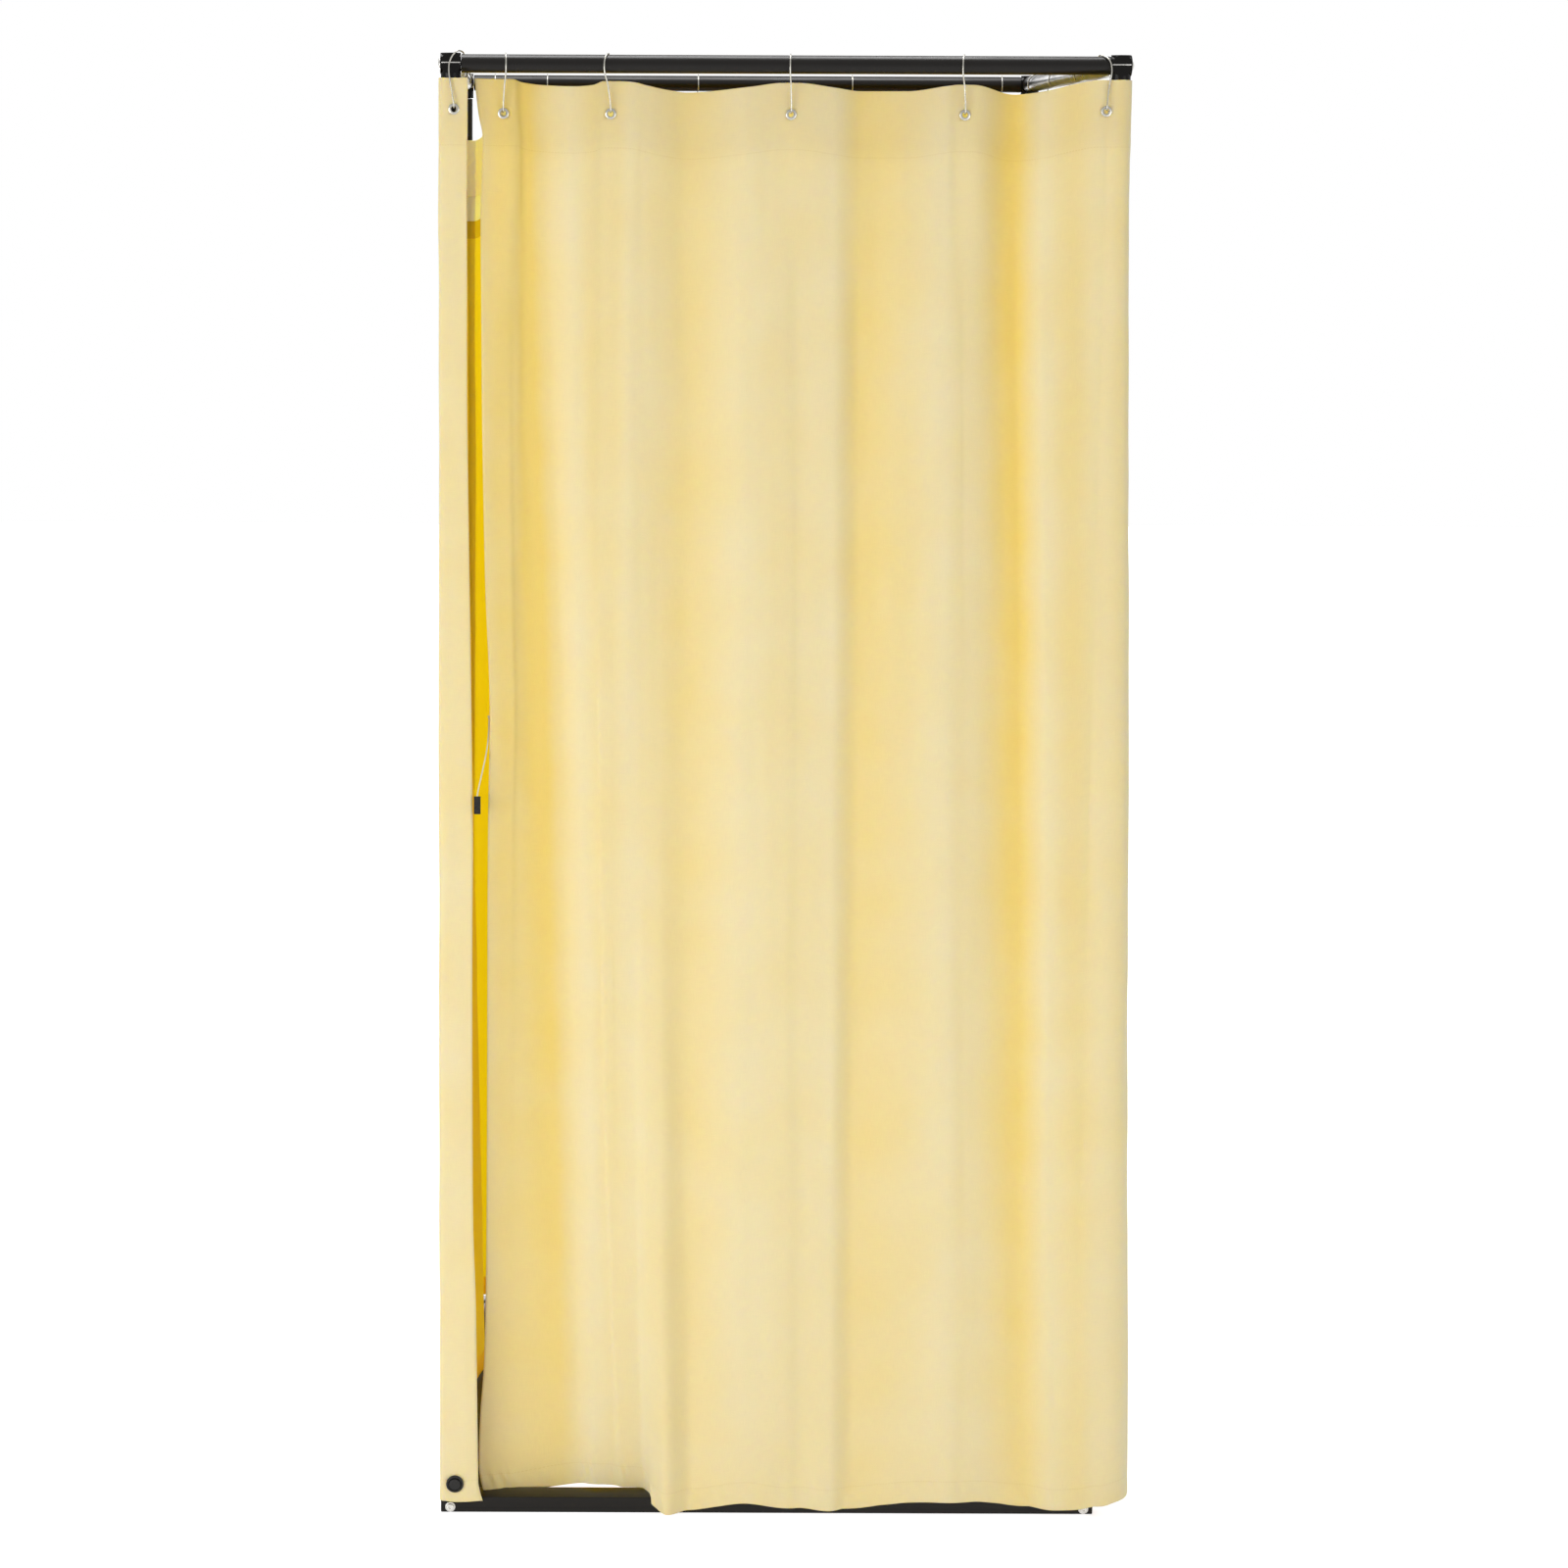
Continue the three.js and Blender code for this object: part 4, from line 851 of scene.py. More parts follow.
right_lines = [
    *front_corner_lines,
    *still_lines(1, side_hooks, 40),
    plumb(1, half - 54, 6, depth=0.5),
    plumb(1, half - 27, 13.5),
    plumb(1, half - 6.75, corner_out),
]
back_lines = [
    plumb(2, -half - corner_out, -6.75),
    *reversed(arc_round(2, -1)),
    plumb(2, -(half - 6.75), corner_out),
    *still_lines(2, back_hooks),
    plumb(2, half - 1.8 * corner_out, 1.2, top_drop + 0.9 * droop, depth=0.4),
    *arc_round(2, 1, inside=True),
    plumb(2, half, -1.47 * corner_out, top_drop + droop),
]
strip_line = half + 20
left_lines = [
    plumb(3, -(half - 1.47 * corner_out), 0, top_drop + droop),
    plumb(3, -(half - 2.5 * corner_out), 2, top_drop + 0.8 * droop),
    plumb(3, -(half - 4 * corner_out), -4, top_drop + 0.3 * droop, depth=0.7),
    *still_lines(3, sorted(-along for along in side_hooks), inward=1),
    plumb(3, half - 54, 8.75, 20.5, depth=0.5),
    plumb(3, half - 13.5, 15.5, 19),
    plumb(3, half, 15.5, 19, 20),
    plumb(3, strip_line - 6.75, 15.5, 19, 18.4),
    plumb(3, strip_line - 1.7, 13.8, 19, 18.4),
    plumb(3, strip_line, 8.75, 19, 18.4),
    plumb(0, strip_hook[0], 20, 19, 17, hook=59),
    key_line(0, -413.8, 20, 19, -389.4, 20, 19, 0.3, wave=1),
]
print(len(front_lines), len(right_lines), len(back_lines), len(left_lines), "key lines")

# %% Hanging a panel: the plan of the cloth at any height
front_edge_wave = through(
    [20, 40, 69, 137, 217, 337, 970, 1124, 1300, 1543, 1771, 1870, 1910, 1950],
    [0, -6, -9.3, -6.8, -0.6, 3, 10.7, 14, 9, 6.8, 7.4, 11, 4.6, 0],
)  # how far the front panel's free edge is to the right of a straight line, at a height above the floor
strip_edge_wave = through(
    [18, 30, 45, 60, 130, 300, 430, 560, 820, 980, 1120, 1500, 1700, 1950],
    [0, -2, -6, -8.5, -8.5, -8.5, -11, -10, -7, -4.5, -4.5, -5, -3, 0],
)  # the same for the narrow strip's free edge


def set_lengths(lines):
    """Gives each line its place across the flat cloth, from the mean of its plans at the top and at the hem."""
    flat = 0
    for before, here in zip([None, *lines], lines):
        if before:
            flat += sum((before[end] - here[end]).length for end in ("top", "foot")) / 2
        here["flat"] = flat
    return flat


wander_width = 7


def wander(number, height):
    """A slow sideways drift of each fold with height, none at the top and the hem."""
    share = height / rail_height
    return wander_width * noise.noise(Vector((number * 1.37, share * 2.2, 4.1))) * math.sin(math.pi * share)


def plan_row(lines, share, height, wave=None):
    """The plan of the cloth at a share of the way down, as two smooth lines across the flat cloth."""
    full = eased(share * 8) * (1 - 0.4 * share)  # folds reach their full depth a little below the band
    xs, ys = [], []
    for k, line in enumerate(lines):
        place = line["top"].lerp(line["foot"], share ** line["late"])
        along = (lines[min(k + 1, len(lines) - 1)]["top"] - lines[max(k - 1, 0)]["top"]).normalized()
        at_end = k < 2 or k > len(lines) - 3
        drift = 0 if at_end else wander(k + 10 * line["depth"], height) * eased(share * 6)
        if wave:
            drift += wave(height) * line["wave"]
        place += along * drift + Vector((along.y, -along.x)) * line["swell"] * full
        xs.append(place.x)
        ys.append(place.y)
    flats = [line["flat"] for line in lines]
    return through(flats, xs), through(flats, ys)


# %% Columns and rows of a panel's flat grid
eyelet_columns = (-9, -5, -2.5, 0, 2.5, 5, 9)
clear_of_eyelet = 11  # evenly spaced columns keep at least this far from an eyelet


def spread(marks, flat_start, flat_end, step):
    """Evenly spaced columns, with seven of their own round each eyelet."""
    count = round((flat_end - flat_start) / step)
    columns = [mixed(flat_start, flat_end, k / count) for k in range(count + 1)]
    columns = [c for c in columns if all(abs(c - mark) > clear_of_eyelet for mark in marks)]
    columns += [mark + offset for mark in marks for offset in eyelet_columns]
    return sorted(c for c in {flat_start, flat_end, *columns} if flat_start <= c <= flat_end)


eyelet_row = 42  # where the eyelets' middles lie in the list of rows


def rows_of(count):
    """Rows as (millimetres from the top, share of the length): close together at the eyelets and the two seams."""
    top = [0, 1.2, 3, 6, 10, 15, 21, 27, 33, 37, 39.5, eyelet_row, 44.5, 47, 51]
    top += [57, 64, 71, 77, 81, 83.5, 84.8, 85.6, 86.4, 87.2, 88.5, 91, 95, 101, 109]
    low = [58, 50, 43, 38, 34.5, 32.5, 31.2, 30.4, 29.6, 28.8, 27.5, 25, 21, 16.5, 12, 7.5, 4, 1.5, 0]
    rows = [(value, 0) for value in top]
    for k in range(1, count):
        share = k / count
        rows.append((mixed(top[-1], -low[0], share), share))
    return rows + [(-value, 1) for value in low]


seam_rows = rows_of(118)
print(len(seam_rows), "rows")


# %% Small forms: rumples, puckers and seams
def rumple(flat, down):
    """Soft creases that run down the cloth, and finer ones across them, in millimetres."""
    long_ones = noise.noise(Vector((flat / 46, down / 520, 1.7))) * 2.1
    short_ones = noise.noise(Vector((flat / 19, down / 150, 9.2))) * 0.75
    slanted = noise.noise(Vector(((flat + down * 0.35) / 37, (down - flat * 0.2) / 95, 5.5))) * 0.7
    return long_ones + short_ones + slanted


def pucker(flat, distance, reach, depth):
    """Small gathers beside a line of stitches, strongest at the stitches."""
    fade = math.exp(-((distance / reach) ** 2))
    slanted = (flat + 0.3 * distance) / 8.5
    gather = noise.noise(Vector((slanted, distance / 60, 2.9))) + 0.5 * noise.noise(Vector((flat / 3.6, 7.7, 0.4)))
    return gather * depth * fade


def groove(distance, width=1.1, depth=0.45):
    return -depth * math.exp(-((distance / width) ** 2))


# %% Where a panel's cloth hangs, row by row
plan_from = 110  # from the top down to here, the plan is the one at the top


def hung_rows(lines, columns, wave, edge_fit):
    """For each row, the place across the flat cloth, the plan and the direction along the cloth of each column."""
    drop_at = through([line["flat"] for line in lines], [line["drop"] for line in lines])
    hem_at = through([line["flat"] for line in lines], [line["hem"] for line in lines])
    length = sum(rail_height - drop_at(flat) - hem_at(flat) for flat in columns) / len(columns)
    rows = []
    for fixed, share in seam_rows:
        down = fixed + share * length
        way = max(down - plan_from, 0) / (length - plan_from)
        flats = [edge_fit(way, down, flat) for flat in columns] if edge_fit else columns
        plan_x, plan_y = plan_row(lines, way, rail_height - top_drop - down, wave)
        places = [Vector((plan_x(flat), plan_y(flat))) for flat in flats]
        last = len(places) - 1
        alongs = [(places[min(c + 1, last)] - places[max(c - 1, 0)]).normalized() for c in range(last + 1)]
        heights = [(drop_at(flat), hem_at(flat)) for flat in flats]
        rows.append(list(zip(flats, places, alongs, heights)))
    return rows


rows_above, rows_below = 33, 51  # rows between these keep their distance from the eyelet
rows_settle = 81  # from here down, rows keep their distance from the top


def down_the_cloth(row, length, eyelet_down):
    """How far below the cloth's top a row lies. Rows round an eyelet keep their distance from it."""
    fixed, share = seam_rows[row]
    shift = eyelet_down - eyelet_row
    if share or fixed >= rows_settle:
        return fixed + share * length
    if fixed <= rows_above:
        return fixed * (rows_above + shift) / rows_above
    if fixed <= rows_below:
        return fixed + shift
    return mixed(rows_below + shift, rows_settle, (fixed - rows_below) / (rows_settle - rows_below))


hem_gather, edge_gather = 1.1, 3.2  # depth of the hem's puckers, and near the front panel's free edge


def small_forms(flat, from_top, from_hem, calm):
    """How far wrinkles, puckers and stitched seams lift the cloth, in millimetres."""
    lift = rumple(flat, from_top) * calm * mixed(0.35, 1, eased(from_top / 160))
    lift += pucker(flat, from_top - band, 16, 0.5) * calm
    gathered = mixed(hem_gather, edge_gather, eased((250 - flat) / 90))
    lift += pucker(flat + 400, from_hem - 0.75 * hem, 15, gathered) * calm
    return lift + groove(from_top - band, depth=0.12) + groove(from_hem - hem, depth=0.2)


# %% Cut a flat panel, punch its holes and hang it
before_bar = 15.2  # out from the rails' plane, just in front of the front bar's face
bar_lean = 0.6  # how much nearer the cloth may come for each millimetre above the bar


def before_the_bar(place, height, hem_height):
    """Cloth that hangs lower than the front bar's top stays in front of the bar."""
    nearest = half + before_bar - bar_lean * max(height - base_height, 0)
    if hem_height < base_height + 0.4 and place.y < -half - 2:
        place.y = min(place.y, -nearest)


flat_height = rail_height - top_drop - foot_rise
side_hem = 13  # width of the narrow hem at a free edge
hole_reach = 4  # points nearer to an eyelet's middle than this are cut out
rim_reach = 6  # and those up to here become the hole's rim
rim_radius = 4.4
parting_reach = 5.5  # the cloth is single and thin this near to a parting
tuck = 0.3  # how far the right panel's edge is tucked behind the front one's
calm_width = 16  # round an eyelet's flat, small wrinkles fade out over this width
calm_columns = 4  # and at a panel's ends, over this many columns


def hang_panel(name, lines, columns, edges=(), wave=None, edge_fit=None, flat_zero=0, parted=None):
    """Makes one panel. edges are the flat places of its narrow side hems, and parted is where it meets the next."""
    fold_shade_at = through([line["flat"] for line in lines], [line["depth"] for line in lines])
    marks = [(line["flat"], line["hook"] - line["drop"]) for line in lines if line["hook"]]
    rows = hung_rows(lines, columns, wave, edge_fit)
    starts_parted = parted and parted < columns[0] + 6
    bm = bmesh.new()
    uv_layer = bm.loops.layers.uv.new("UVMap")
    fold_shade_layer = bm.verts.layers.float.new("painted_fold_shade")
    weight_layer = bm.verts.layers.deform.verify()
    across, down = len(columns), len(seam_rows)
    bmesh.ops.create_grid(bm, x_segments=across - 1, y_segments=down - 1, size=0.5)
    flat_of, holes, rims, at_parting = {}, [], [], set()
    for vert in bm.verts:
        column = round((vert.co.x + 0.5) * (across - 1))
        row = down - 1 - round((vert.co.y + 0.5) * (down - 1))
        flat, place, along, (drop, hem_height) = rows[row][column]
        length = rail_height - drop - hem_height
        mark_flat, mark_down = min(marks, key=lambda mark: abs(mark[0] - columns[column]))
        from_top = down_the_cloth(row, length, mark_down)
        from_hem = length - from_top
        sideways, lower = columns[column] - mark_flat, from_top - mark_down
        calm = eased((math.hypot(sideways, lower) - eyelet_flat) / calm_width)
        to_joint = [column, across - 1 - column]
        if parted:
            to_joint = to_joint[1:] if starts_parted else to_joint[:1]
        calm *= eased(min(to_joint) / calm_columns)
        lift = small_forms(flat + flat_zero, from_top, from_hem, calm)
        if starts_parted:
            lift -= tuck * eased((parted + 7 - columns[column]) / 6)
        place = place + Vector((along.y, -along.x)) * lift
        before_the_bar(place, rail_height - drop - from_top, hem_height)
        vert.co = at(place.x, place.y, rail_height - drop - from_top)
        share = seam_rows[row][1]
        flat_of[vert] = ((flat + flat_zero) * MM, (from_top if share < 1 else flat_height - from_hem) * MM)
        # Painted fold shade for the cloth's colour, fading a little towards the hem.
        vert[fold_shade_layer] = fold_shade_at(flat) * (1 - 0.45 * share * share)
        at_side = any(abs(columns[column] - edge) < side_hem for edge in edges)
        vert[weight_layer][0] = 1.0 if from_top < band or from_hem < hem or at_side else 0.5
        if parted and abs(columns[column] - parted) < parting_reach:
            vert[weight_layer][0] = 0.15
            at_parting.add(vert)
        from_eyelet = max(abs(sideways), abs(lower))
        if from_eyelet < hole_reach:
            holes.append(vert)
        elif from_eyelet < rim_reach:
            pull = rim_radius / math.hypot(sideways, lower) - 1
            rims.append((vert, Vector((along.x * sideways, along.y * sideways, -lower)) * pull * MM))
    for face in bm.faces:
        for loop in face.loops:
            loop[uv_layer].uv = flat_of[loop.vert]
    for edge in bm.edges:
        edge.smooth = not (edge.is_boundary and at_parting.issuperset(edge.verts))
    for vert, shift in rims:
        vert.co += shift
    bmesh.ops.delete(bm, geom=holes, context="VERTS")
    mesh = bpy.data.meshes.new(name)
    bm.to_mesh(mesh)
    bm.free()
    mesh.shade_smooth()
    panel = bpy.data.objects.new(name, mesh)
    bpy.context.scene.collection.objects.link(panel)
    panel.vertex_groups.new(name="doubled")
    width = (columns[-1] - columns[0]) * MM
    print(f"{name}: {across} by {down} points, flat {width:.3f} by {flat_height * MM:.3f} m, {len(marks)} holes")
    return panel, (width, flat_height * MM)


def give_thickness(panel):
    """Cloth half a millimetre thick, and twice that where it is doubled."""
    thickness = panel.modifiers.new("cloth_thickness", "SOLIDIFY")
    thickness.thickness = 1.0 * MM
    thickness.offset = -1
    thickness.vertex_group = "doubled"
    thickness.material_offset = 1


# %% Where the front panel is parted from the right one
whole_front = front_lines + right_lines
set_lengths(whole_front)
front_marks = [line["flat"] for line in whole_front if line["hook"]]
parting_flat = front_marks[4]
parting_x = front_hooks[4][0]
blend_from = parting_flat - 95
blend_to = parting_flat + 60
halvings = 30  # enough to place the parting to a millionth of a millimetre
partings = {}


def parting(share, down):
    """Where the parting crosses the cloth at a share of the way down, so that it is straight and upright."""
    if share <= 0:
        return parting_flat
    if share not in partings:
        plan_x, _ = plan_row(whole_front, share, rail_height - top_drop - down, front_edge_wave)
        low, high = blend_from + 5, parting_flat + 5
        for _ in range(halvings):
            flat = (low + high) / 2
            low, high = (flat, high) if plan_x(flat) < parting_x else (low, flat)
        partings[share] = low
    return partings[share]


def fit_front(share, down, flat):
    """Moves the front panel's last columns so that its edge follows the parting."""
    if flat <= blend_from:
        return flat
    return mixed(blend_from, parting(share, down), (flat - blend_from) / (parting_flat - blend_from))


def fit_right(share, down, flat):
    """Moves the right panel's first columns in the same way."""
    if flat >= blend_to:
        return flat
    return mixed(parting(share, down), blend_to, (flat - parting_flat) / (blend_to - parting_flat))


# %% Hang the four panels
right_end = whole_front[-1]["flat"]
fine_step, side_step = 3.5, 4.2  # between columns
front_columns = spread(front_marks[:5], 0, parting_flat, fine_step)
right_columns = spread(front_marks[4:], parting_flat - 5, right_end, side_step)
back_end, left_end = set_lengths(back_lines), set_lengths(left_lines)
back_columns = spread([line["flat"] for line in back_lines if line["hook"]], 0, back_end, side_step)
left_columns = spread([line["flat"] for line in left_lines if line["hook"]], 0, left_end, side_step)
front_panel, front_flat = hang_panel(
    "cloth_front", whole_front, front_columns, edges=[0], wave=front_edge_wave, edge_fit=fit_front, parted=parting_flat
)
right_panel, right_flat = hang_panel(
    "cloth_right", whole_front, right_columns, wave=front_edge_wave, edge_fit=fit_right, parted=parting_flat
)
back_panel, back_flat = hang_panel("cloth_back", back_lines, back_columns, flat_zero=right_end)
left_panel, left_flat = hang_panel(
    "cloth_left", left_lines, left_columns, edges=[left_end], wave=strip_edge_wave, flat_zero=right_end + back_end
)
for panel in (front_panel, right_panel, back_panel, left_panel):
    give_thickness(panel)

# %% Each panel takes its node's place on the frame
panels = {
    "curtain_front": (front_panel, front_flat, [f"wire_front_{k}" for k in range(1, 6)]),
    "curtain_right": (right_panel, right_flat, [f"wire_right_{k}" for k in range(1, 5)]),
    "curtain_back": (back_panel, back_flat, [f"wire_back_{k}" for k in range(1, 6)]),
    "curtain_left": (left_panel, left_flat, [f"wire_left_{k}" for k in range(1, 5)] + ["wire_strip"]),
}
for node, (panel, flat, hung_from) in panels.items():
    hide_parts(node)
    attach(panel, "frame")
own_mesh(front_panel)

# %% [markdown]
# ## Finishes
# Each finish starts from what the material is. The black coat is paint on steel, the joints are glossier, the wire and
# the bolts are plated, the button and the clip are moulded, and the curtain is woven. Three effects are shared, so
# each is a node group with named sockets: a fine grain, a scatter of wear, and a weave that reads the flat cloth's UV
# map in metres.


# %% Helpers for node groups and materials
def new_group(name, inputs, outputs):
    group = bpy.data.node_groups.new(name, "ShaderNodeTree")
    for socket_name, socket_type, default in inputs:
        socket = group.interface.new_socket(name=socket_name, in_out="INPUT", socket_type=socket_type)
        if default is not None:
            socket.default_value = default
    for socket_name, socket_type in outputs:
        group.interface.new_socket(name=socket_name, in_out="OUTPUT", socket_type=socket_type)
    start = group.nodes.new("NodeGroupInput")
    end = group.nodes.new("NodeGroupOutput")
    return group, start, end


def add(tree, kind, settings=None, **inputs):
    """Adds a node, sets its settings, and sets or links its inputs by name (or by number, as _0)."""
    node = tree.nodes.new(kind)
    for key, value in (settings or {}).items():
        setattr(node, key, value)
    for key, value in inputs.items():
        socket = node.inputs[int(key[1:])] if key[1:].isdigit() else node.inputs[key.replace("_", " ")]
        if isinstance(value, bpy.types.NodeSocket):
            tree.links.new(value, socket)
        else:
            socket.default_value = value
    return node


def math_node(tree, operation, a, b=0.5, clamp=False):
    return add(tree, "ShaderNodeMath", {"operation": operation, "use_clamp": clamp}, _0=a, _1=b).outputs[0]


# %% Shared effect: fine grain
grain_group, grain_in, grain_out = new_group(
    "Fine grain",
    [
        ("Vector", "NodeSocketVector", None), ("Scale", "NodeSocketFloat", 900.0),
        ("Cloudiness", "NodeSocketFloat", 12.0),
    ],
    [("Height", "NodeSocketFloat"), ("Cloud", "NodeSocketFloat")],
)
tree = grain_group
peel = add(tree, "ShaderNodeTexNoise", Vector=grain_in.outputs["Vector"], Scale=grain_in.outputs["Scale"], Detail=2.0)
cloud = add(
    tree, "ShaderNodeTexNoise", Vector=grain_in.outputs["Vector"], Scale=grain_in.outputs["Cloudiness"], Detail=4.0,
    Roughness=0.6,
)
tree.links.new(peel.outputs["Fac"], grain_out.inputs["Height"])
tree.links.new(cloud.outputs["Fac"], grain_out.inputs["Cloud"])

# %% Shared effect: scattered wear
wear_group, wear_in, wear_out = new_group(
    "Scattered wear",
    [("Vector", "NodeSocketVector", None), ("Scale", "NodeSocketFloat", 60.0), ("Amount", "NodeSocketFloat", 0.3)],
    [("Mask", "NodeSocketFloat")],
)
tree = wear_group
stretched = add(
    tree, "ShaderNodeTexNoise", Vector=wear_in.outputs["Vector"], Scale=wear_in.outputs["Scale"], Detail=6.0,
    Roughness=0.75, Distortion=0.6,
)
threshold = math_node(tree, "SUBTRACT", 0.86, wear_in.outputs["Amount"])
over = math_node(tree, "SUBTRACT", stretched.outputs["Fac"], threshold)
tree.links.new(math_node(tree, "MULTIPLY", over, 9.0, clamp=True), wear_out.inputs["Mask"])

# %% Shared effect: plain weave
weave_group, weave_in, weave_out = new_group(
    "Plain weave",
    [("Vector", "NodeSocketVector", None), ("Threads per metre", "NodeSocketFloat", 1500.0),
     ("Slub", "NodeSocketFloat", 0.5)],
    [("Height", "NodeSocketFloat"), ("Shade", "NodeSocketFloat")],
)
tree = weave_group
parts = add(tree, "ShaderNodeSeparateXYZ", Vector=weave_in.outputs["Vector"])
turns = math_node(tree, "MULTIPLY", weave_in.outputs["Threads per metre"], math.pi)
slub_noises = []
for slub_scale in ((1400, 60, 1), (60, 1400, 1)):
    scaled = add(
        tree, "ShaderNodeVectorMath", {"operation": "MULTIPLY"}, _0=weave_in.outputs["Vector"], _1=slub_scale
    )
    slub_noises.append(add(tree, "ShaderNodeTexNoise", Vector=scaled.outputs[0], Scale=1.0, Detail=3.0).outputs["Fac"])
warp = math_node(tree, "SINE", math_node(tree, "MULTIPLY", parts.outputs["X"], turns))
weft = math_node(tree, "SINE", math_node(tree, "MULTIPLY", parts.outputs["Y"], turns))
over_under = math_node(tree, "MULTIPLY", math_node(tree, "MULTIPLY", warp, weft), 0.5)
slubs = math_node(tree, "ADD", *slub_noises)
slubs = math_node(tree, "MULTIPLY", slubs, weave_in.outputs["Slub"])
tree.links.new(math_node(tree, "ADD", over_under, slubs), weave_out.inputs["Height"])
tree.links.new(slubs, weave_out.inputs["Shade"])
print([group.name for group in bpy.data.node_groups])


# %% A new material and its shader
def new_material(name, **values):
    """A material with a plain shader whose sockets hold what is the same all over the surface."""
    material = bpy.data.materials.new(name)
    material.use_nodes = True
    shader = material.node_tree.nodes["Principled BSDF"]
    for key, value in values.items():
        shader.inputs[key.replace("_", " ")].default_value = value
    return material, material.node_tree, shader


def place_group(tree, group, **inputs):
    node = add(tree, "ShaderNodeGroup", {"node_tree": group})
    for key, value in inputs.items():
        socket = node.inputs[key.replace("_", " ")]
        if isinstance(value, bpy.types.NodeSocket):
            tree.links.new(value, socket)
        else:
            socket.default_value = value
    return node


def colour_between(tree, factor, first, second):
    mix = add(tree, "ShaderNodeMix", {"data_type": "RGBA"}, _0=factor, _6=(*first, 1), _7=(*second, 1))
    return mix.outputs[2]


def bumped(tree, shader, height, strength, distance):
    bump = add(tree, "ShaderNodeBump", Height=height, Strength=strength, Distance=distance)
    tree.links.new(bump.outputs["Normal"], shader.inputs["Normal"])


def roughness_range(tree, shader, mask, low, high):
    spread_out = add(tree, "ShaderNodeMapRange", Value=mask, From_Min=0.3, From_Max=0.7, To_Min=low, To_Max=high)
    tree.links.new(spread_out.outputs["Result"], shader.inputs["Roughness"])


def dress(pieces, *materials):
    for piece in pieces:
        piece.data.materials.clear()
        for material in materials:
            piece.data.materials.append(material)


# %% [markdown]
# ### Black coats
# The tube and the base have a satin coat, warm black rather than grey. Paint shrinks as it dries, so its surface has a
# very fine orange peel, and handling polishes it in patches. The joints have a smoother, glossier coat, which stays
# nearly black between its small highlights.

# %% Satin and gloss black
satin, tree, shader = new_material("black_satin_coat", Specular_IOR_Level=0.2, IOR=1.5)
where = add(tree, "ShaderNodeTexCoord").outputs["Object"]
grain = place_group(tree, grain_group, Vector=where, Scale=1100.0, Cloudiness=14.0)
wear = place_group(tree, wear_group, Vector=where, Scale=48.0, Amount=0.2)
tree.links.new(
    colour_between(tree, wear.outputs["Mask"], (0.0058, 0.0047, 0.0038), (0.0115, 0.0098, 0.008)),
    shader.inputs["Base Color"],
)
roughness_range(tree, shader, grain.outputs["Cloud"], 0.26, 0.38)
bumped(tree, shader, grain.outputs["Height"], 0.12, 0.0002)
dress(satin_pieces, satin)

gloss, tree, shader = new_material("black_gloss_coat", Specular_IOR_Level=0.12, IOR=1.5)
where = add(tree, "ShaderNodeTexCoord").outputs["Object"]
grain = place_group(tree, grain_group, Vector=where, Scale=500.0, Cloudiness=40.0)
tree.links.new(
    colour_between(tree, grain.outputs["Cloud"], (0.0032, 0.0029, 0.0027), (0.006, 0.0055, 0.005)),
    shader.inputs["Base Color"],
)
roughness_range(tree, shader, grain.outputs["Cloud"], 0.07, 0.13)
bumped(tree, shader, grain.outputs["Height"], 0.05, 0.0002)
dress(gloss_pieces, gloss)

# %% [markdown]
# ### Plated steel
# Bolts, washers, hooks and eyelets are zinc or nickel plated. The plating is bright but not a mirror, and it dulls in
# small cloudy patches.

# %% Bolts and wire
steel, tree, shader = new_material("plated_bolt", Metallic=1.0)
where = add(tree, "ShaderNodeTexCoord").outputs["Object"]
grain = place_group(tree, grain_group, Vector=where, Scale=1600.0, Cloudiness=220.0)
wear = place_group(tree, wear_group, Vector=where, Scale=420.0, Amount=0.34)
tree.links.new(
    colour_between(tree, wear.outputs["Mask"], (0.62, 0.61, 0.58), (0.36, 0.345, 0.32)), shader.inputs["Base Color"]
)
roughness_range(tree, shader, grain.outputs["Cloud"], 0.16, 0.34)
bumped(tree, shader, grain.outputs["Height"], 0.08, 0.0001)
dress(steel_pieces, steel)

plated_wire, tree, shader = new_material("plated_wire", Metallic=1.0)
where = add(tree, "ShaderNodeTexCoord").outputs["Object"]
grain = place_group(tree, grain_group, Vector=where, Scale=2200.0, Cloudiness=160.0)
tree.links.new(
    colour_between(tree, grain.outputs["Cloud"], (0.5, 0.485, 0.44), (0.3, 0.29, 0.255)), shader.inputs["Base Color"]
)
roughness_range(tree, shader, grain.outputs["Cloud"], 0.2, 0.36)
bumped(tree, shader, grain.outputs["Height"], 0.06, 0.0001)
dress(wire_pieces, plated_wire)

# %% [markdown]
# ### Moulded plastic
# The button and the clip are black plastic from a lightly textured mould.

# %% Black plastic
plastic, tree, shader = new_material("moulded_black", Specular_IOR_Level=0.3, IOR=1.47)
where = add(tree, "ShaderNodeTexCoord").outputs["Object"]
grain = place_group(tree, grain_group, Vector=where, Scale=2600.0, Cloudiness=90.0)
tree.links.new(
    colour_between(tree, grain.outputs["Cloud"], (0.0065, 0.0062, 0.006), (0.013, 0.0125, 0.012)),
    shader.inputs["Base Color"],
)
roughness_range(tree, shader, grain.outputs["Cloud"], 0.25, 0.4)
bumped(tree, shader, grain.outputs["Height"], 0.2, 0.0001)
dress(plastic_pieces, plastic)
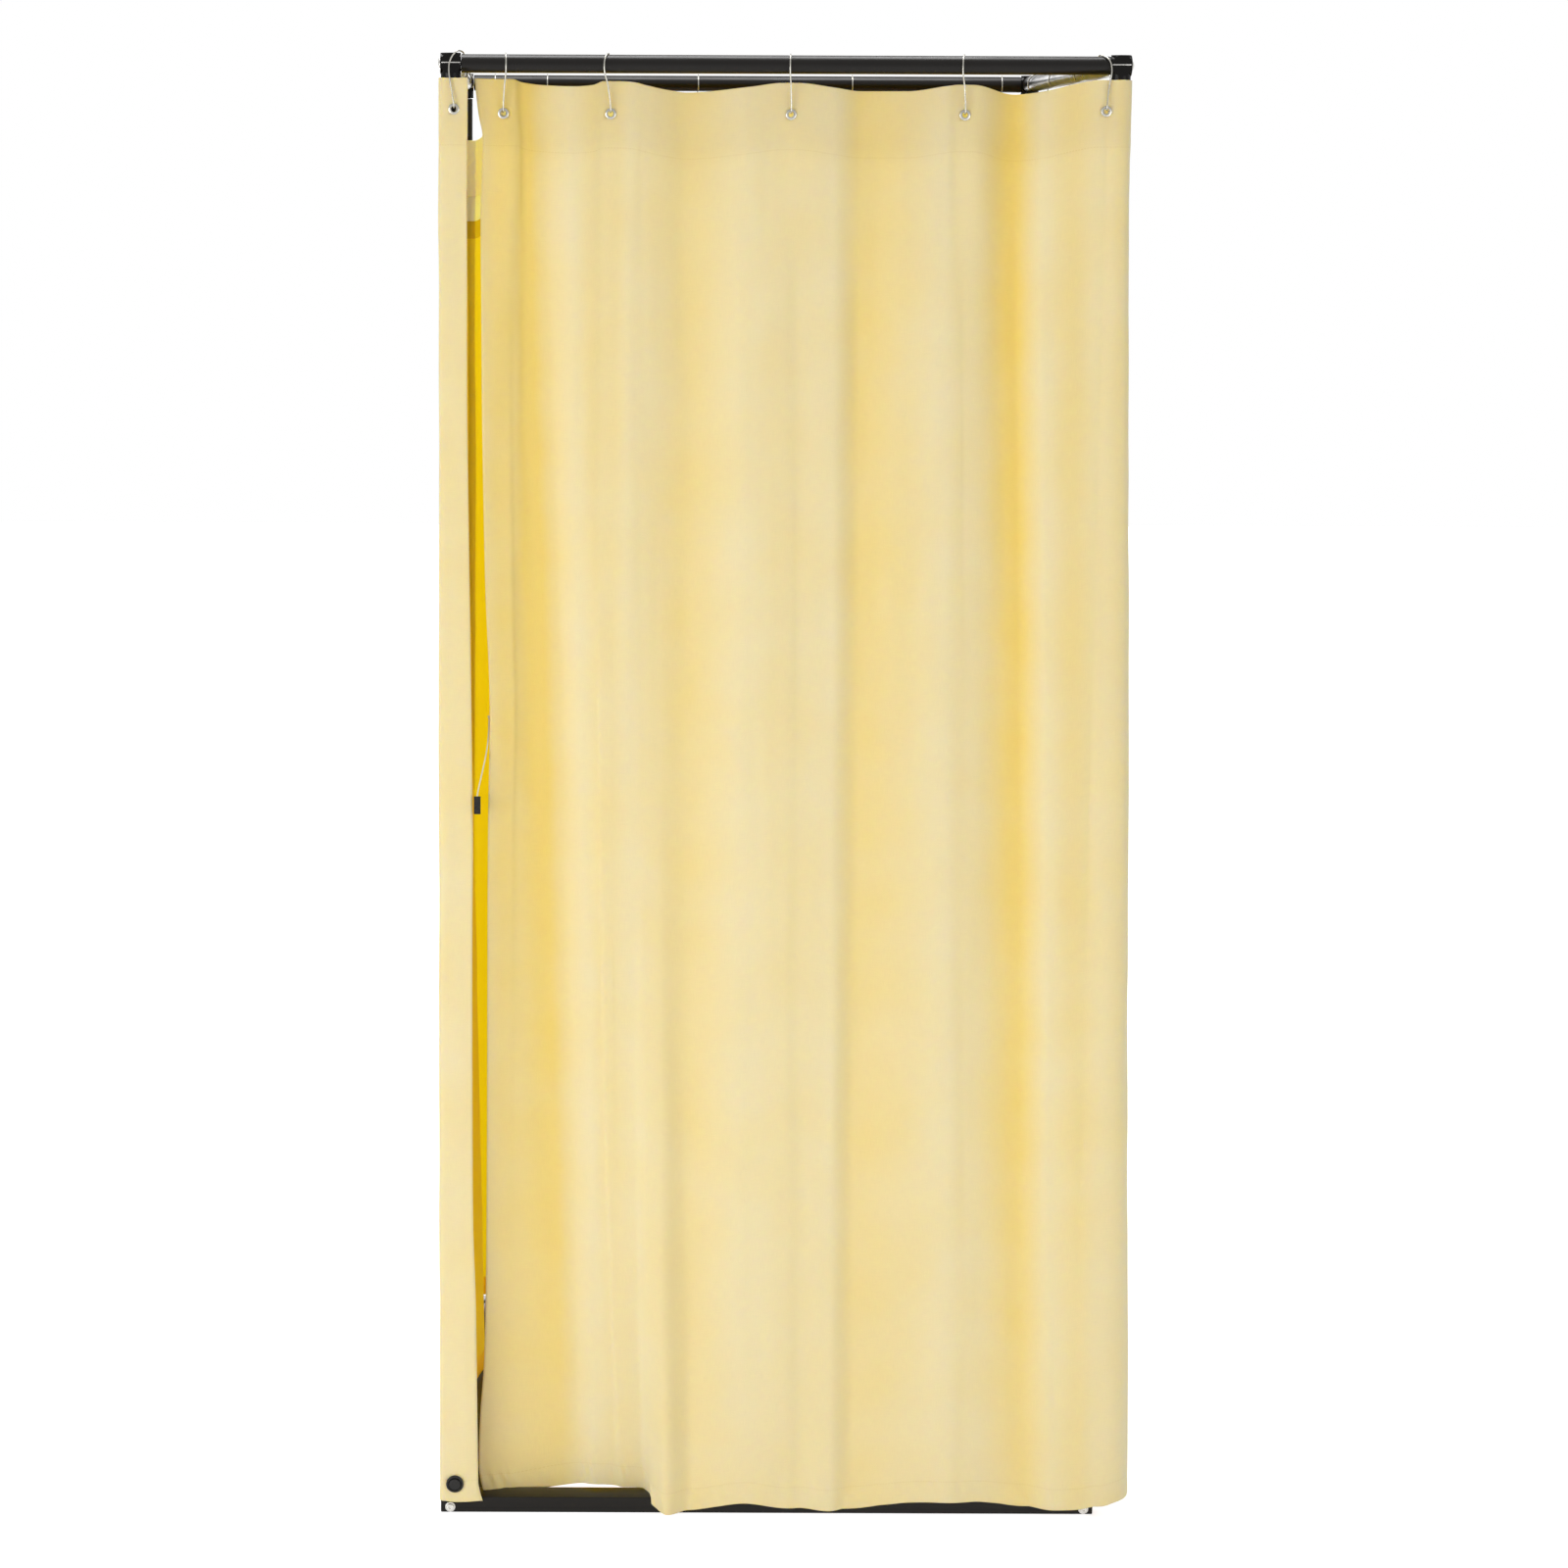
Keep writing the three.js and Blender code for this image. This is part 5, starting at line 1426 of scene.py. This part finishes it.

# %% [markdown]
# ### Cloth
# The curtain is a plain weave of slightly uneven yarn. On the lit side it is a pale cream. Inside the room, and far in
# the folds, light reaches the eye only after several bounces off the same cloth or after passing through it, and each
# one takes more of the blue, so the colour deepens to yellow. Subsurface scattering lets light through the thin cloth,
# far on the inner face and hardly at all on the outer one. A few bounces can't deepen the colour enough, so the rest is
# painted light and shade: `painted_fold_shade`, which each point carries, paints a darker yellow into the folds, and
# the inner face is painted a strong yellow. The inner face's top is painted paler, for the light from the open top,
# with an olive band of painted shade below it, and the doubled band on the outer face is painted slightly darker.
# These, the hems and the stitches are drawn in the flat cloth's own metres.

# %% Outer and inner faces of the cloth
thread_width, stitch_length = 1.4, 3.4
pale_top_inside = 124  # height of the paler top painted on the inner face, for the light that falls in through the open top
seam_shade_width = 27  # width of the darker olive band painted below it, as shade under the band's hem


def blended(tree, way, factor, first, second):
    """Two colours put together in one of the Mix node's ways."""
    mix = add(tree, "ShaderNodeMix", {"data_type": "RGBA", "blend_type": way}, _0=factor, _6=first, _7=second)
    return mix.outputs[2]


def stitches(tree, down, across, seam_at):
    """A mask of short stitches along a seam at a distance down the cloth."""
    off_line = math_node(tree, "ABSOLUTE", math_node(tree, "SUBTRACT", down, seam_at))
    on_line = math_node(tree, "LESS_THAN", off_line, thread_width / 2 * MM)
    beat = math_node(tree, "SINE", math_node(tree, "MULTIPLY", across, 2 * math.pi / (stitch_length * MM)))
    return math_node(tree, "MULTIPLY", on_line, math_node(tree, "GREATER_THAN", beat, -0.35))


def cloth_material(name, ridge, shaded_valley_colour, band_end, band_blend, band_painted_tone, seam_shade_colour, **values):
    """Woven cloth with its colour on the folds' ridges and a painted shade colour in their valleys, the height of its
    band, the band's painted tone and how that blends with the rest, and the colour of the seam shade painted under the
    band, if this face shows one."""
    material, tree, shader = new_material(name, **values)
    flat_place = add(tree, "ShaderNodeUVMap", {"uv_map": "UVMap"}).outputs["UV"]
    parts = add(tree, "ShaderNodeSeparateXYZ", Vector=flat_place)
    weave = place_group(tree, weave_group, Vector=flat_place, Threads_per_metre=1300.0, Slub=0.55)
    # Painted fold shade: each point's share of the painted colour of the valleys, with slow random unevenness added.
    depth = add(tree, "ShaderNodeAttribute", {"attribute_name": "painted_fold_shade"}).outputs["Fac"]
    broad = add(tree, "ShaderNodeTexNoise", Vector=flat_place, Scale=9.0, Detail=3.0)
    uneven = math_node(tree, "MULTIPLY", math_node(tree, "SUBTRACT", broad.outputs["Fac"], 0.5), 0.5)
    painted_fold_share = math_node(tree, "ADD", depth, uneven, clamp=True)
    colour = colour_between(tree, painted_fold_share, ridge, shaded_valley_colour)
    soft = 0.4 if seam_shade_colour else 15  # half the width of the band's edge
    in_band = add(
        tree, "ShaderNodeMapRange", {"interpolation_type": "SMOOTHSTEP"}, Value=parts.outputs["Y"],
        From_Min=(band_end - soft) * MM, From_Max=(band_end + soft) * MM, To_Min=1.0, To_Max=0.0,
    ).outputs[0]
    banded = blended(tree, band_blend, in_band, colour, (*band_painted_tone, 1))
    # Painted shade: a darker olive band below the inner band, where the thicker seam lets less light through.
    if seam_shade_colour:
        in_seam_shade = math_node(
            tree, "SUBTRACT", math_node(tree, "LESS_THAN", parts.outputs["Y"], (band_end + seam_shade_width) * MM), in_band
        )
        banded = blended(tree, "MIX", in_seam_shade, banded, (*seam_shade_colour, 1))
    sewn = math_node(
        tree, "ADD", stitches(tree, parts.outputs["Y"], parts.outputs["X"], band * MM),
        stitches(tree, parts.outputs["Y"], parts.outputs["X"], (flat_height - hem) * MM), clamp=True,
    )
    threaded = blended(tree, "MULTIPLY", sewn, banded, (0.95, 0.93, 0.88, 1))
    shade = add(
        tree, "ShaderNodeMapRange", Value=weave.outputs["Shade"], From_Min=0.3, From_Max=0.8, To_Min=0.965, To_Max=1.03
    ).outputs[0]
    grey = add(tree, "ShaderNodeCombineXYZ", X=shade, Y=shade, Z=shade).outputs[0]
    tree.links.new(blended(tree, "MULTIPLY", 1.0, threaded, grey), shader.inputs["Base Color"])
    height = math_node(tree, "ADD", weave.outputs["Height"], math_node(tree, "MULTIPLY", sewn, 1.5))
    bumped(tree, shader, height, 0.28, 0.0003)
    return material


# Outer face: cream on the ridges, a darker yellow painted into the valleys as fold shade, and the doubled band painted
# slightly darker as shade, for the light that passes through single cloth and not through the band.
cloth_outer = cloth_material(
    "cream_cloth_outer", (0.865, 0.76, 0.475), (0.86, 0.665, 0.2), band, "MULTIPLY", (0.96, 0.95, 0.93), None,
    Roughness=0.88, Specular_IOR_Level=0.2, Subsurface_Weight=1.0, Subsurface_Radius=(1.0, 0.85, 0.3),
    Subsurface_Scale=0.00018,
)
# Inner face: painted a strong yellow all over for the light that comes through the cloth and bounces in the room, its
# top painted paler for the light from the open top, with a band of painted shade below it.
cloth_inner = cloth_material(
    "cream_cloth_inner_painted_light", (0.95, 0.56, 0.03), (0.95, 0.54, 0.025), pale_top_inside, "MIX", (0.93, 0.78, 0.42),
    (0.5, 0.34, 0.012), Roughness=0.9, Specular_IOR_Level=0.1, Subsurface_Weight=1.0,
    Subsurface_Radius=(1.0, 0.85, 0.25), Subsurface_Scale=0.0035,
)
dress([panel for panel, _, _ in panels.values()], cloth_outer, cloth_inner)

# %% [markdown]
# ### Cord and tack
# The cord is a small twisted line, and the tack is the same thread. The twist is a slanted wave on the cord's own UV
# map.

# %% Cord
cord_finish, tree, shader = new_material("cream_twisted_cord", Roughness=0.85, Specular_IOR_Level=0.2)
along_cord = add(tree, "ShaderNodeUVMap", {"uv_map": "UVMap"}).outputs["UV"]
weave = place_group(tree, weave_group, Vector=along_cord, Threads_per_metre=900.0, Slub=0.4)
tree.links.new(
    colour_between(tree, weave.outputs["Shade"], (0.78, 0.72, 0.55), (0.62, 0.56, 0.42)), shader.inputs["Base Color"]
)
bumped(tree, shader, weave.outputs["Height"], 0.5, 0.0003)
dress([cord, tack], cord_finish)

# %% [markdown]
# ## Floor, world and lamps
# The photograph has a plain white background and soft light from the left. The floor is pale and takes the shadow.
# What the camera sees straight on is lifted to white with Light Path, in the floor's own material and in the world, so
# that no extra light falls on the object. Four soft lamps light it: a large one at the left front, a weaker one at the
# right, one behind, which shines through the thin cloth and makes the inside glow, and one above the open top.

# %% Floor
def seen_straight(tree):
    """A mask of the rays that show the backdrop: from the camera, off a glossy face, or through something clear."""
    rays = add(tree, "ShaderNodeLightPath")
    seen = math_node(tree, "MAXIMUM", rays.outputs["Is Camera Ray"], rays.outputs["Is Glossy Ray"])
    return math_node(tree, "MAXIMUM", seen, rays.outputs["Is Transmission Ray"])


bm = bmesh.new()
bmesh.ops.create_grid(bm, x_segments=4, y_segments=4, size=14)
floor_mesh = bpy.data.meshes.new("floor")
bm.to_mesh(floor_mesh)
bm.free()
floor = bpy.data.objects.new("floor", floor_mesh)
bpy.context.scene.collection.objects.link(floor)
floor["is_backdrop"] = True
floor_finish, tree, shader = new_material("pale_floor", Base_Color=(0.82, 0.82, 0.82, 1), Roughness=0.9)
shader.inputs["Emission Color"].default_value = (1, 1, 1, 1)
where = add(tree, "ShaderNodeTexCoord").outputs["Object"]
away = add(tree, "ShaderNodeVectorMath", {"operation": "LENGTH"}, _0=where).outputs["Value"]
lifted = add(tree, "ShaderNodeMapRange", Value=away, From_Min=1.2, From_Max=3.5, To_Min=0.7, To_Max=0.88)
lift = math_node(tree, "MULTIPLY", seen_straight(tree), lifted.outputs["Result"])
tree.links.new(lift, shader.inputs["Emission Strength"])
dress([floor], floor_finish)

# %% World and lamps
world = bpy.data.worlds.new("studio")
bpy.context.scene.world = world
world.use_nodes = True
tree = world.node_tree
background = tree.nodes["Background"]
background.inputs["Color"].default_value = (1, 1, 1, 1)
level = add(tree, "ShaderNodeMapRange", Value=seen_straight(tree), To_Min=0.42, To_Max=1.0)
tree.links.new(level.outputs["Result"], background.inputs["Strength"])


def soft_lamp(name, place, target, size, power):
    """An area lamp of a given width and height that faces a target."""
    data = bpy.data.lights.new(name, "AREA")
    data.shape = "RECTANGLE"
    data.size, data.size_y = size
    data.energy = power
    lamp = bpy.data.objects.new(name, data)
    bpy.context.scene.collection.objects.link(lamp)
    lamp.matrix_world = Matrix.Translation(place) @ (target - place).to_track_quat("-Z", "Y").to_matrix().to_4x4()


room_middle = at(0, 0, rail_height / 2)
# place in millimetres, target, width and height in metres, and power in watts
soft_lamp("key_left", at(-3200, -3550, 1150), room_middle, (2.6, 2.4), 90)
soft_lamp("fill_right", at(2800, -3600, 1000), room_middle, (2.6, 2.2), 38)
soft_lamp("back_glow", at(-700, 4000, 1300), room_middle, (3.4, 2.4), 86)
soft_lamp("overhead", at(0, 0, 4300), at(1, 0, 0), (1.6, 1.6), 100)
bpy.context.scene.view_settings.view_transform = "Standard"
print("lamps", [light.name for light in bpy.data.lights])

# %% [markdown]
# ## Last: sizes
# The box of the finished room is kept beside the box of the solid model, to see that cloth and hooks stay inside it.

# %% Sizes
visual_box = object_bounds()
for name, box in (("solid", cad_box), ("visual", visual_box)):
    print(name, [[round(c, 4) for c in corner] for corner in box])
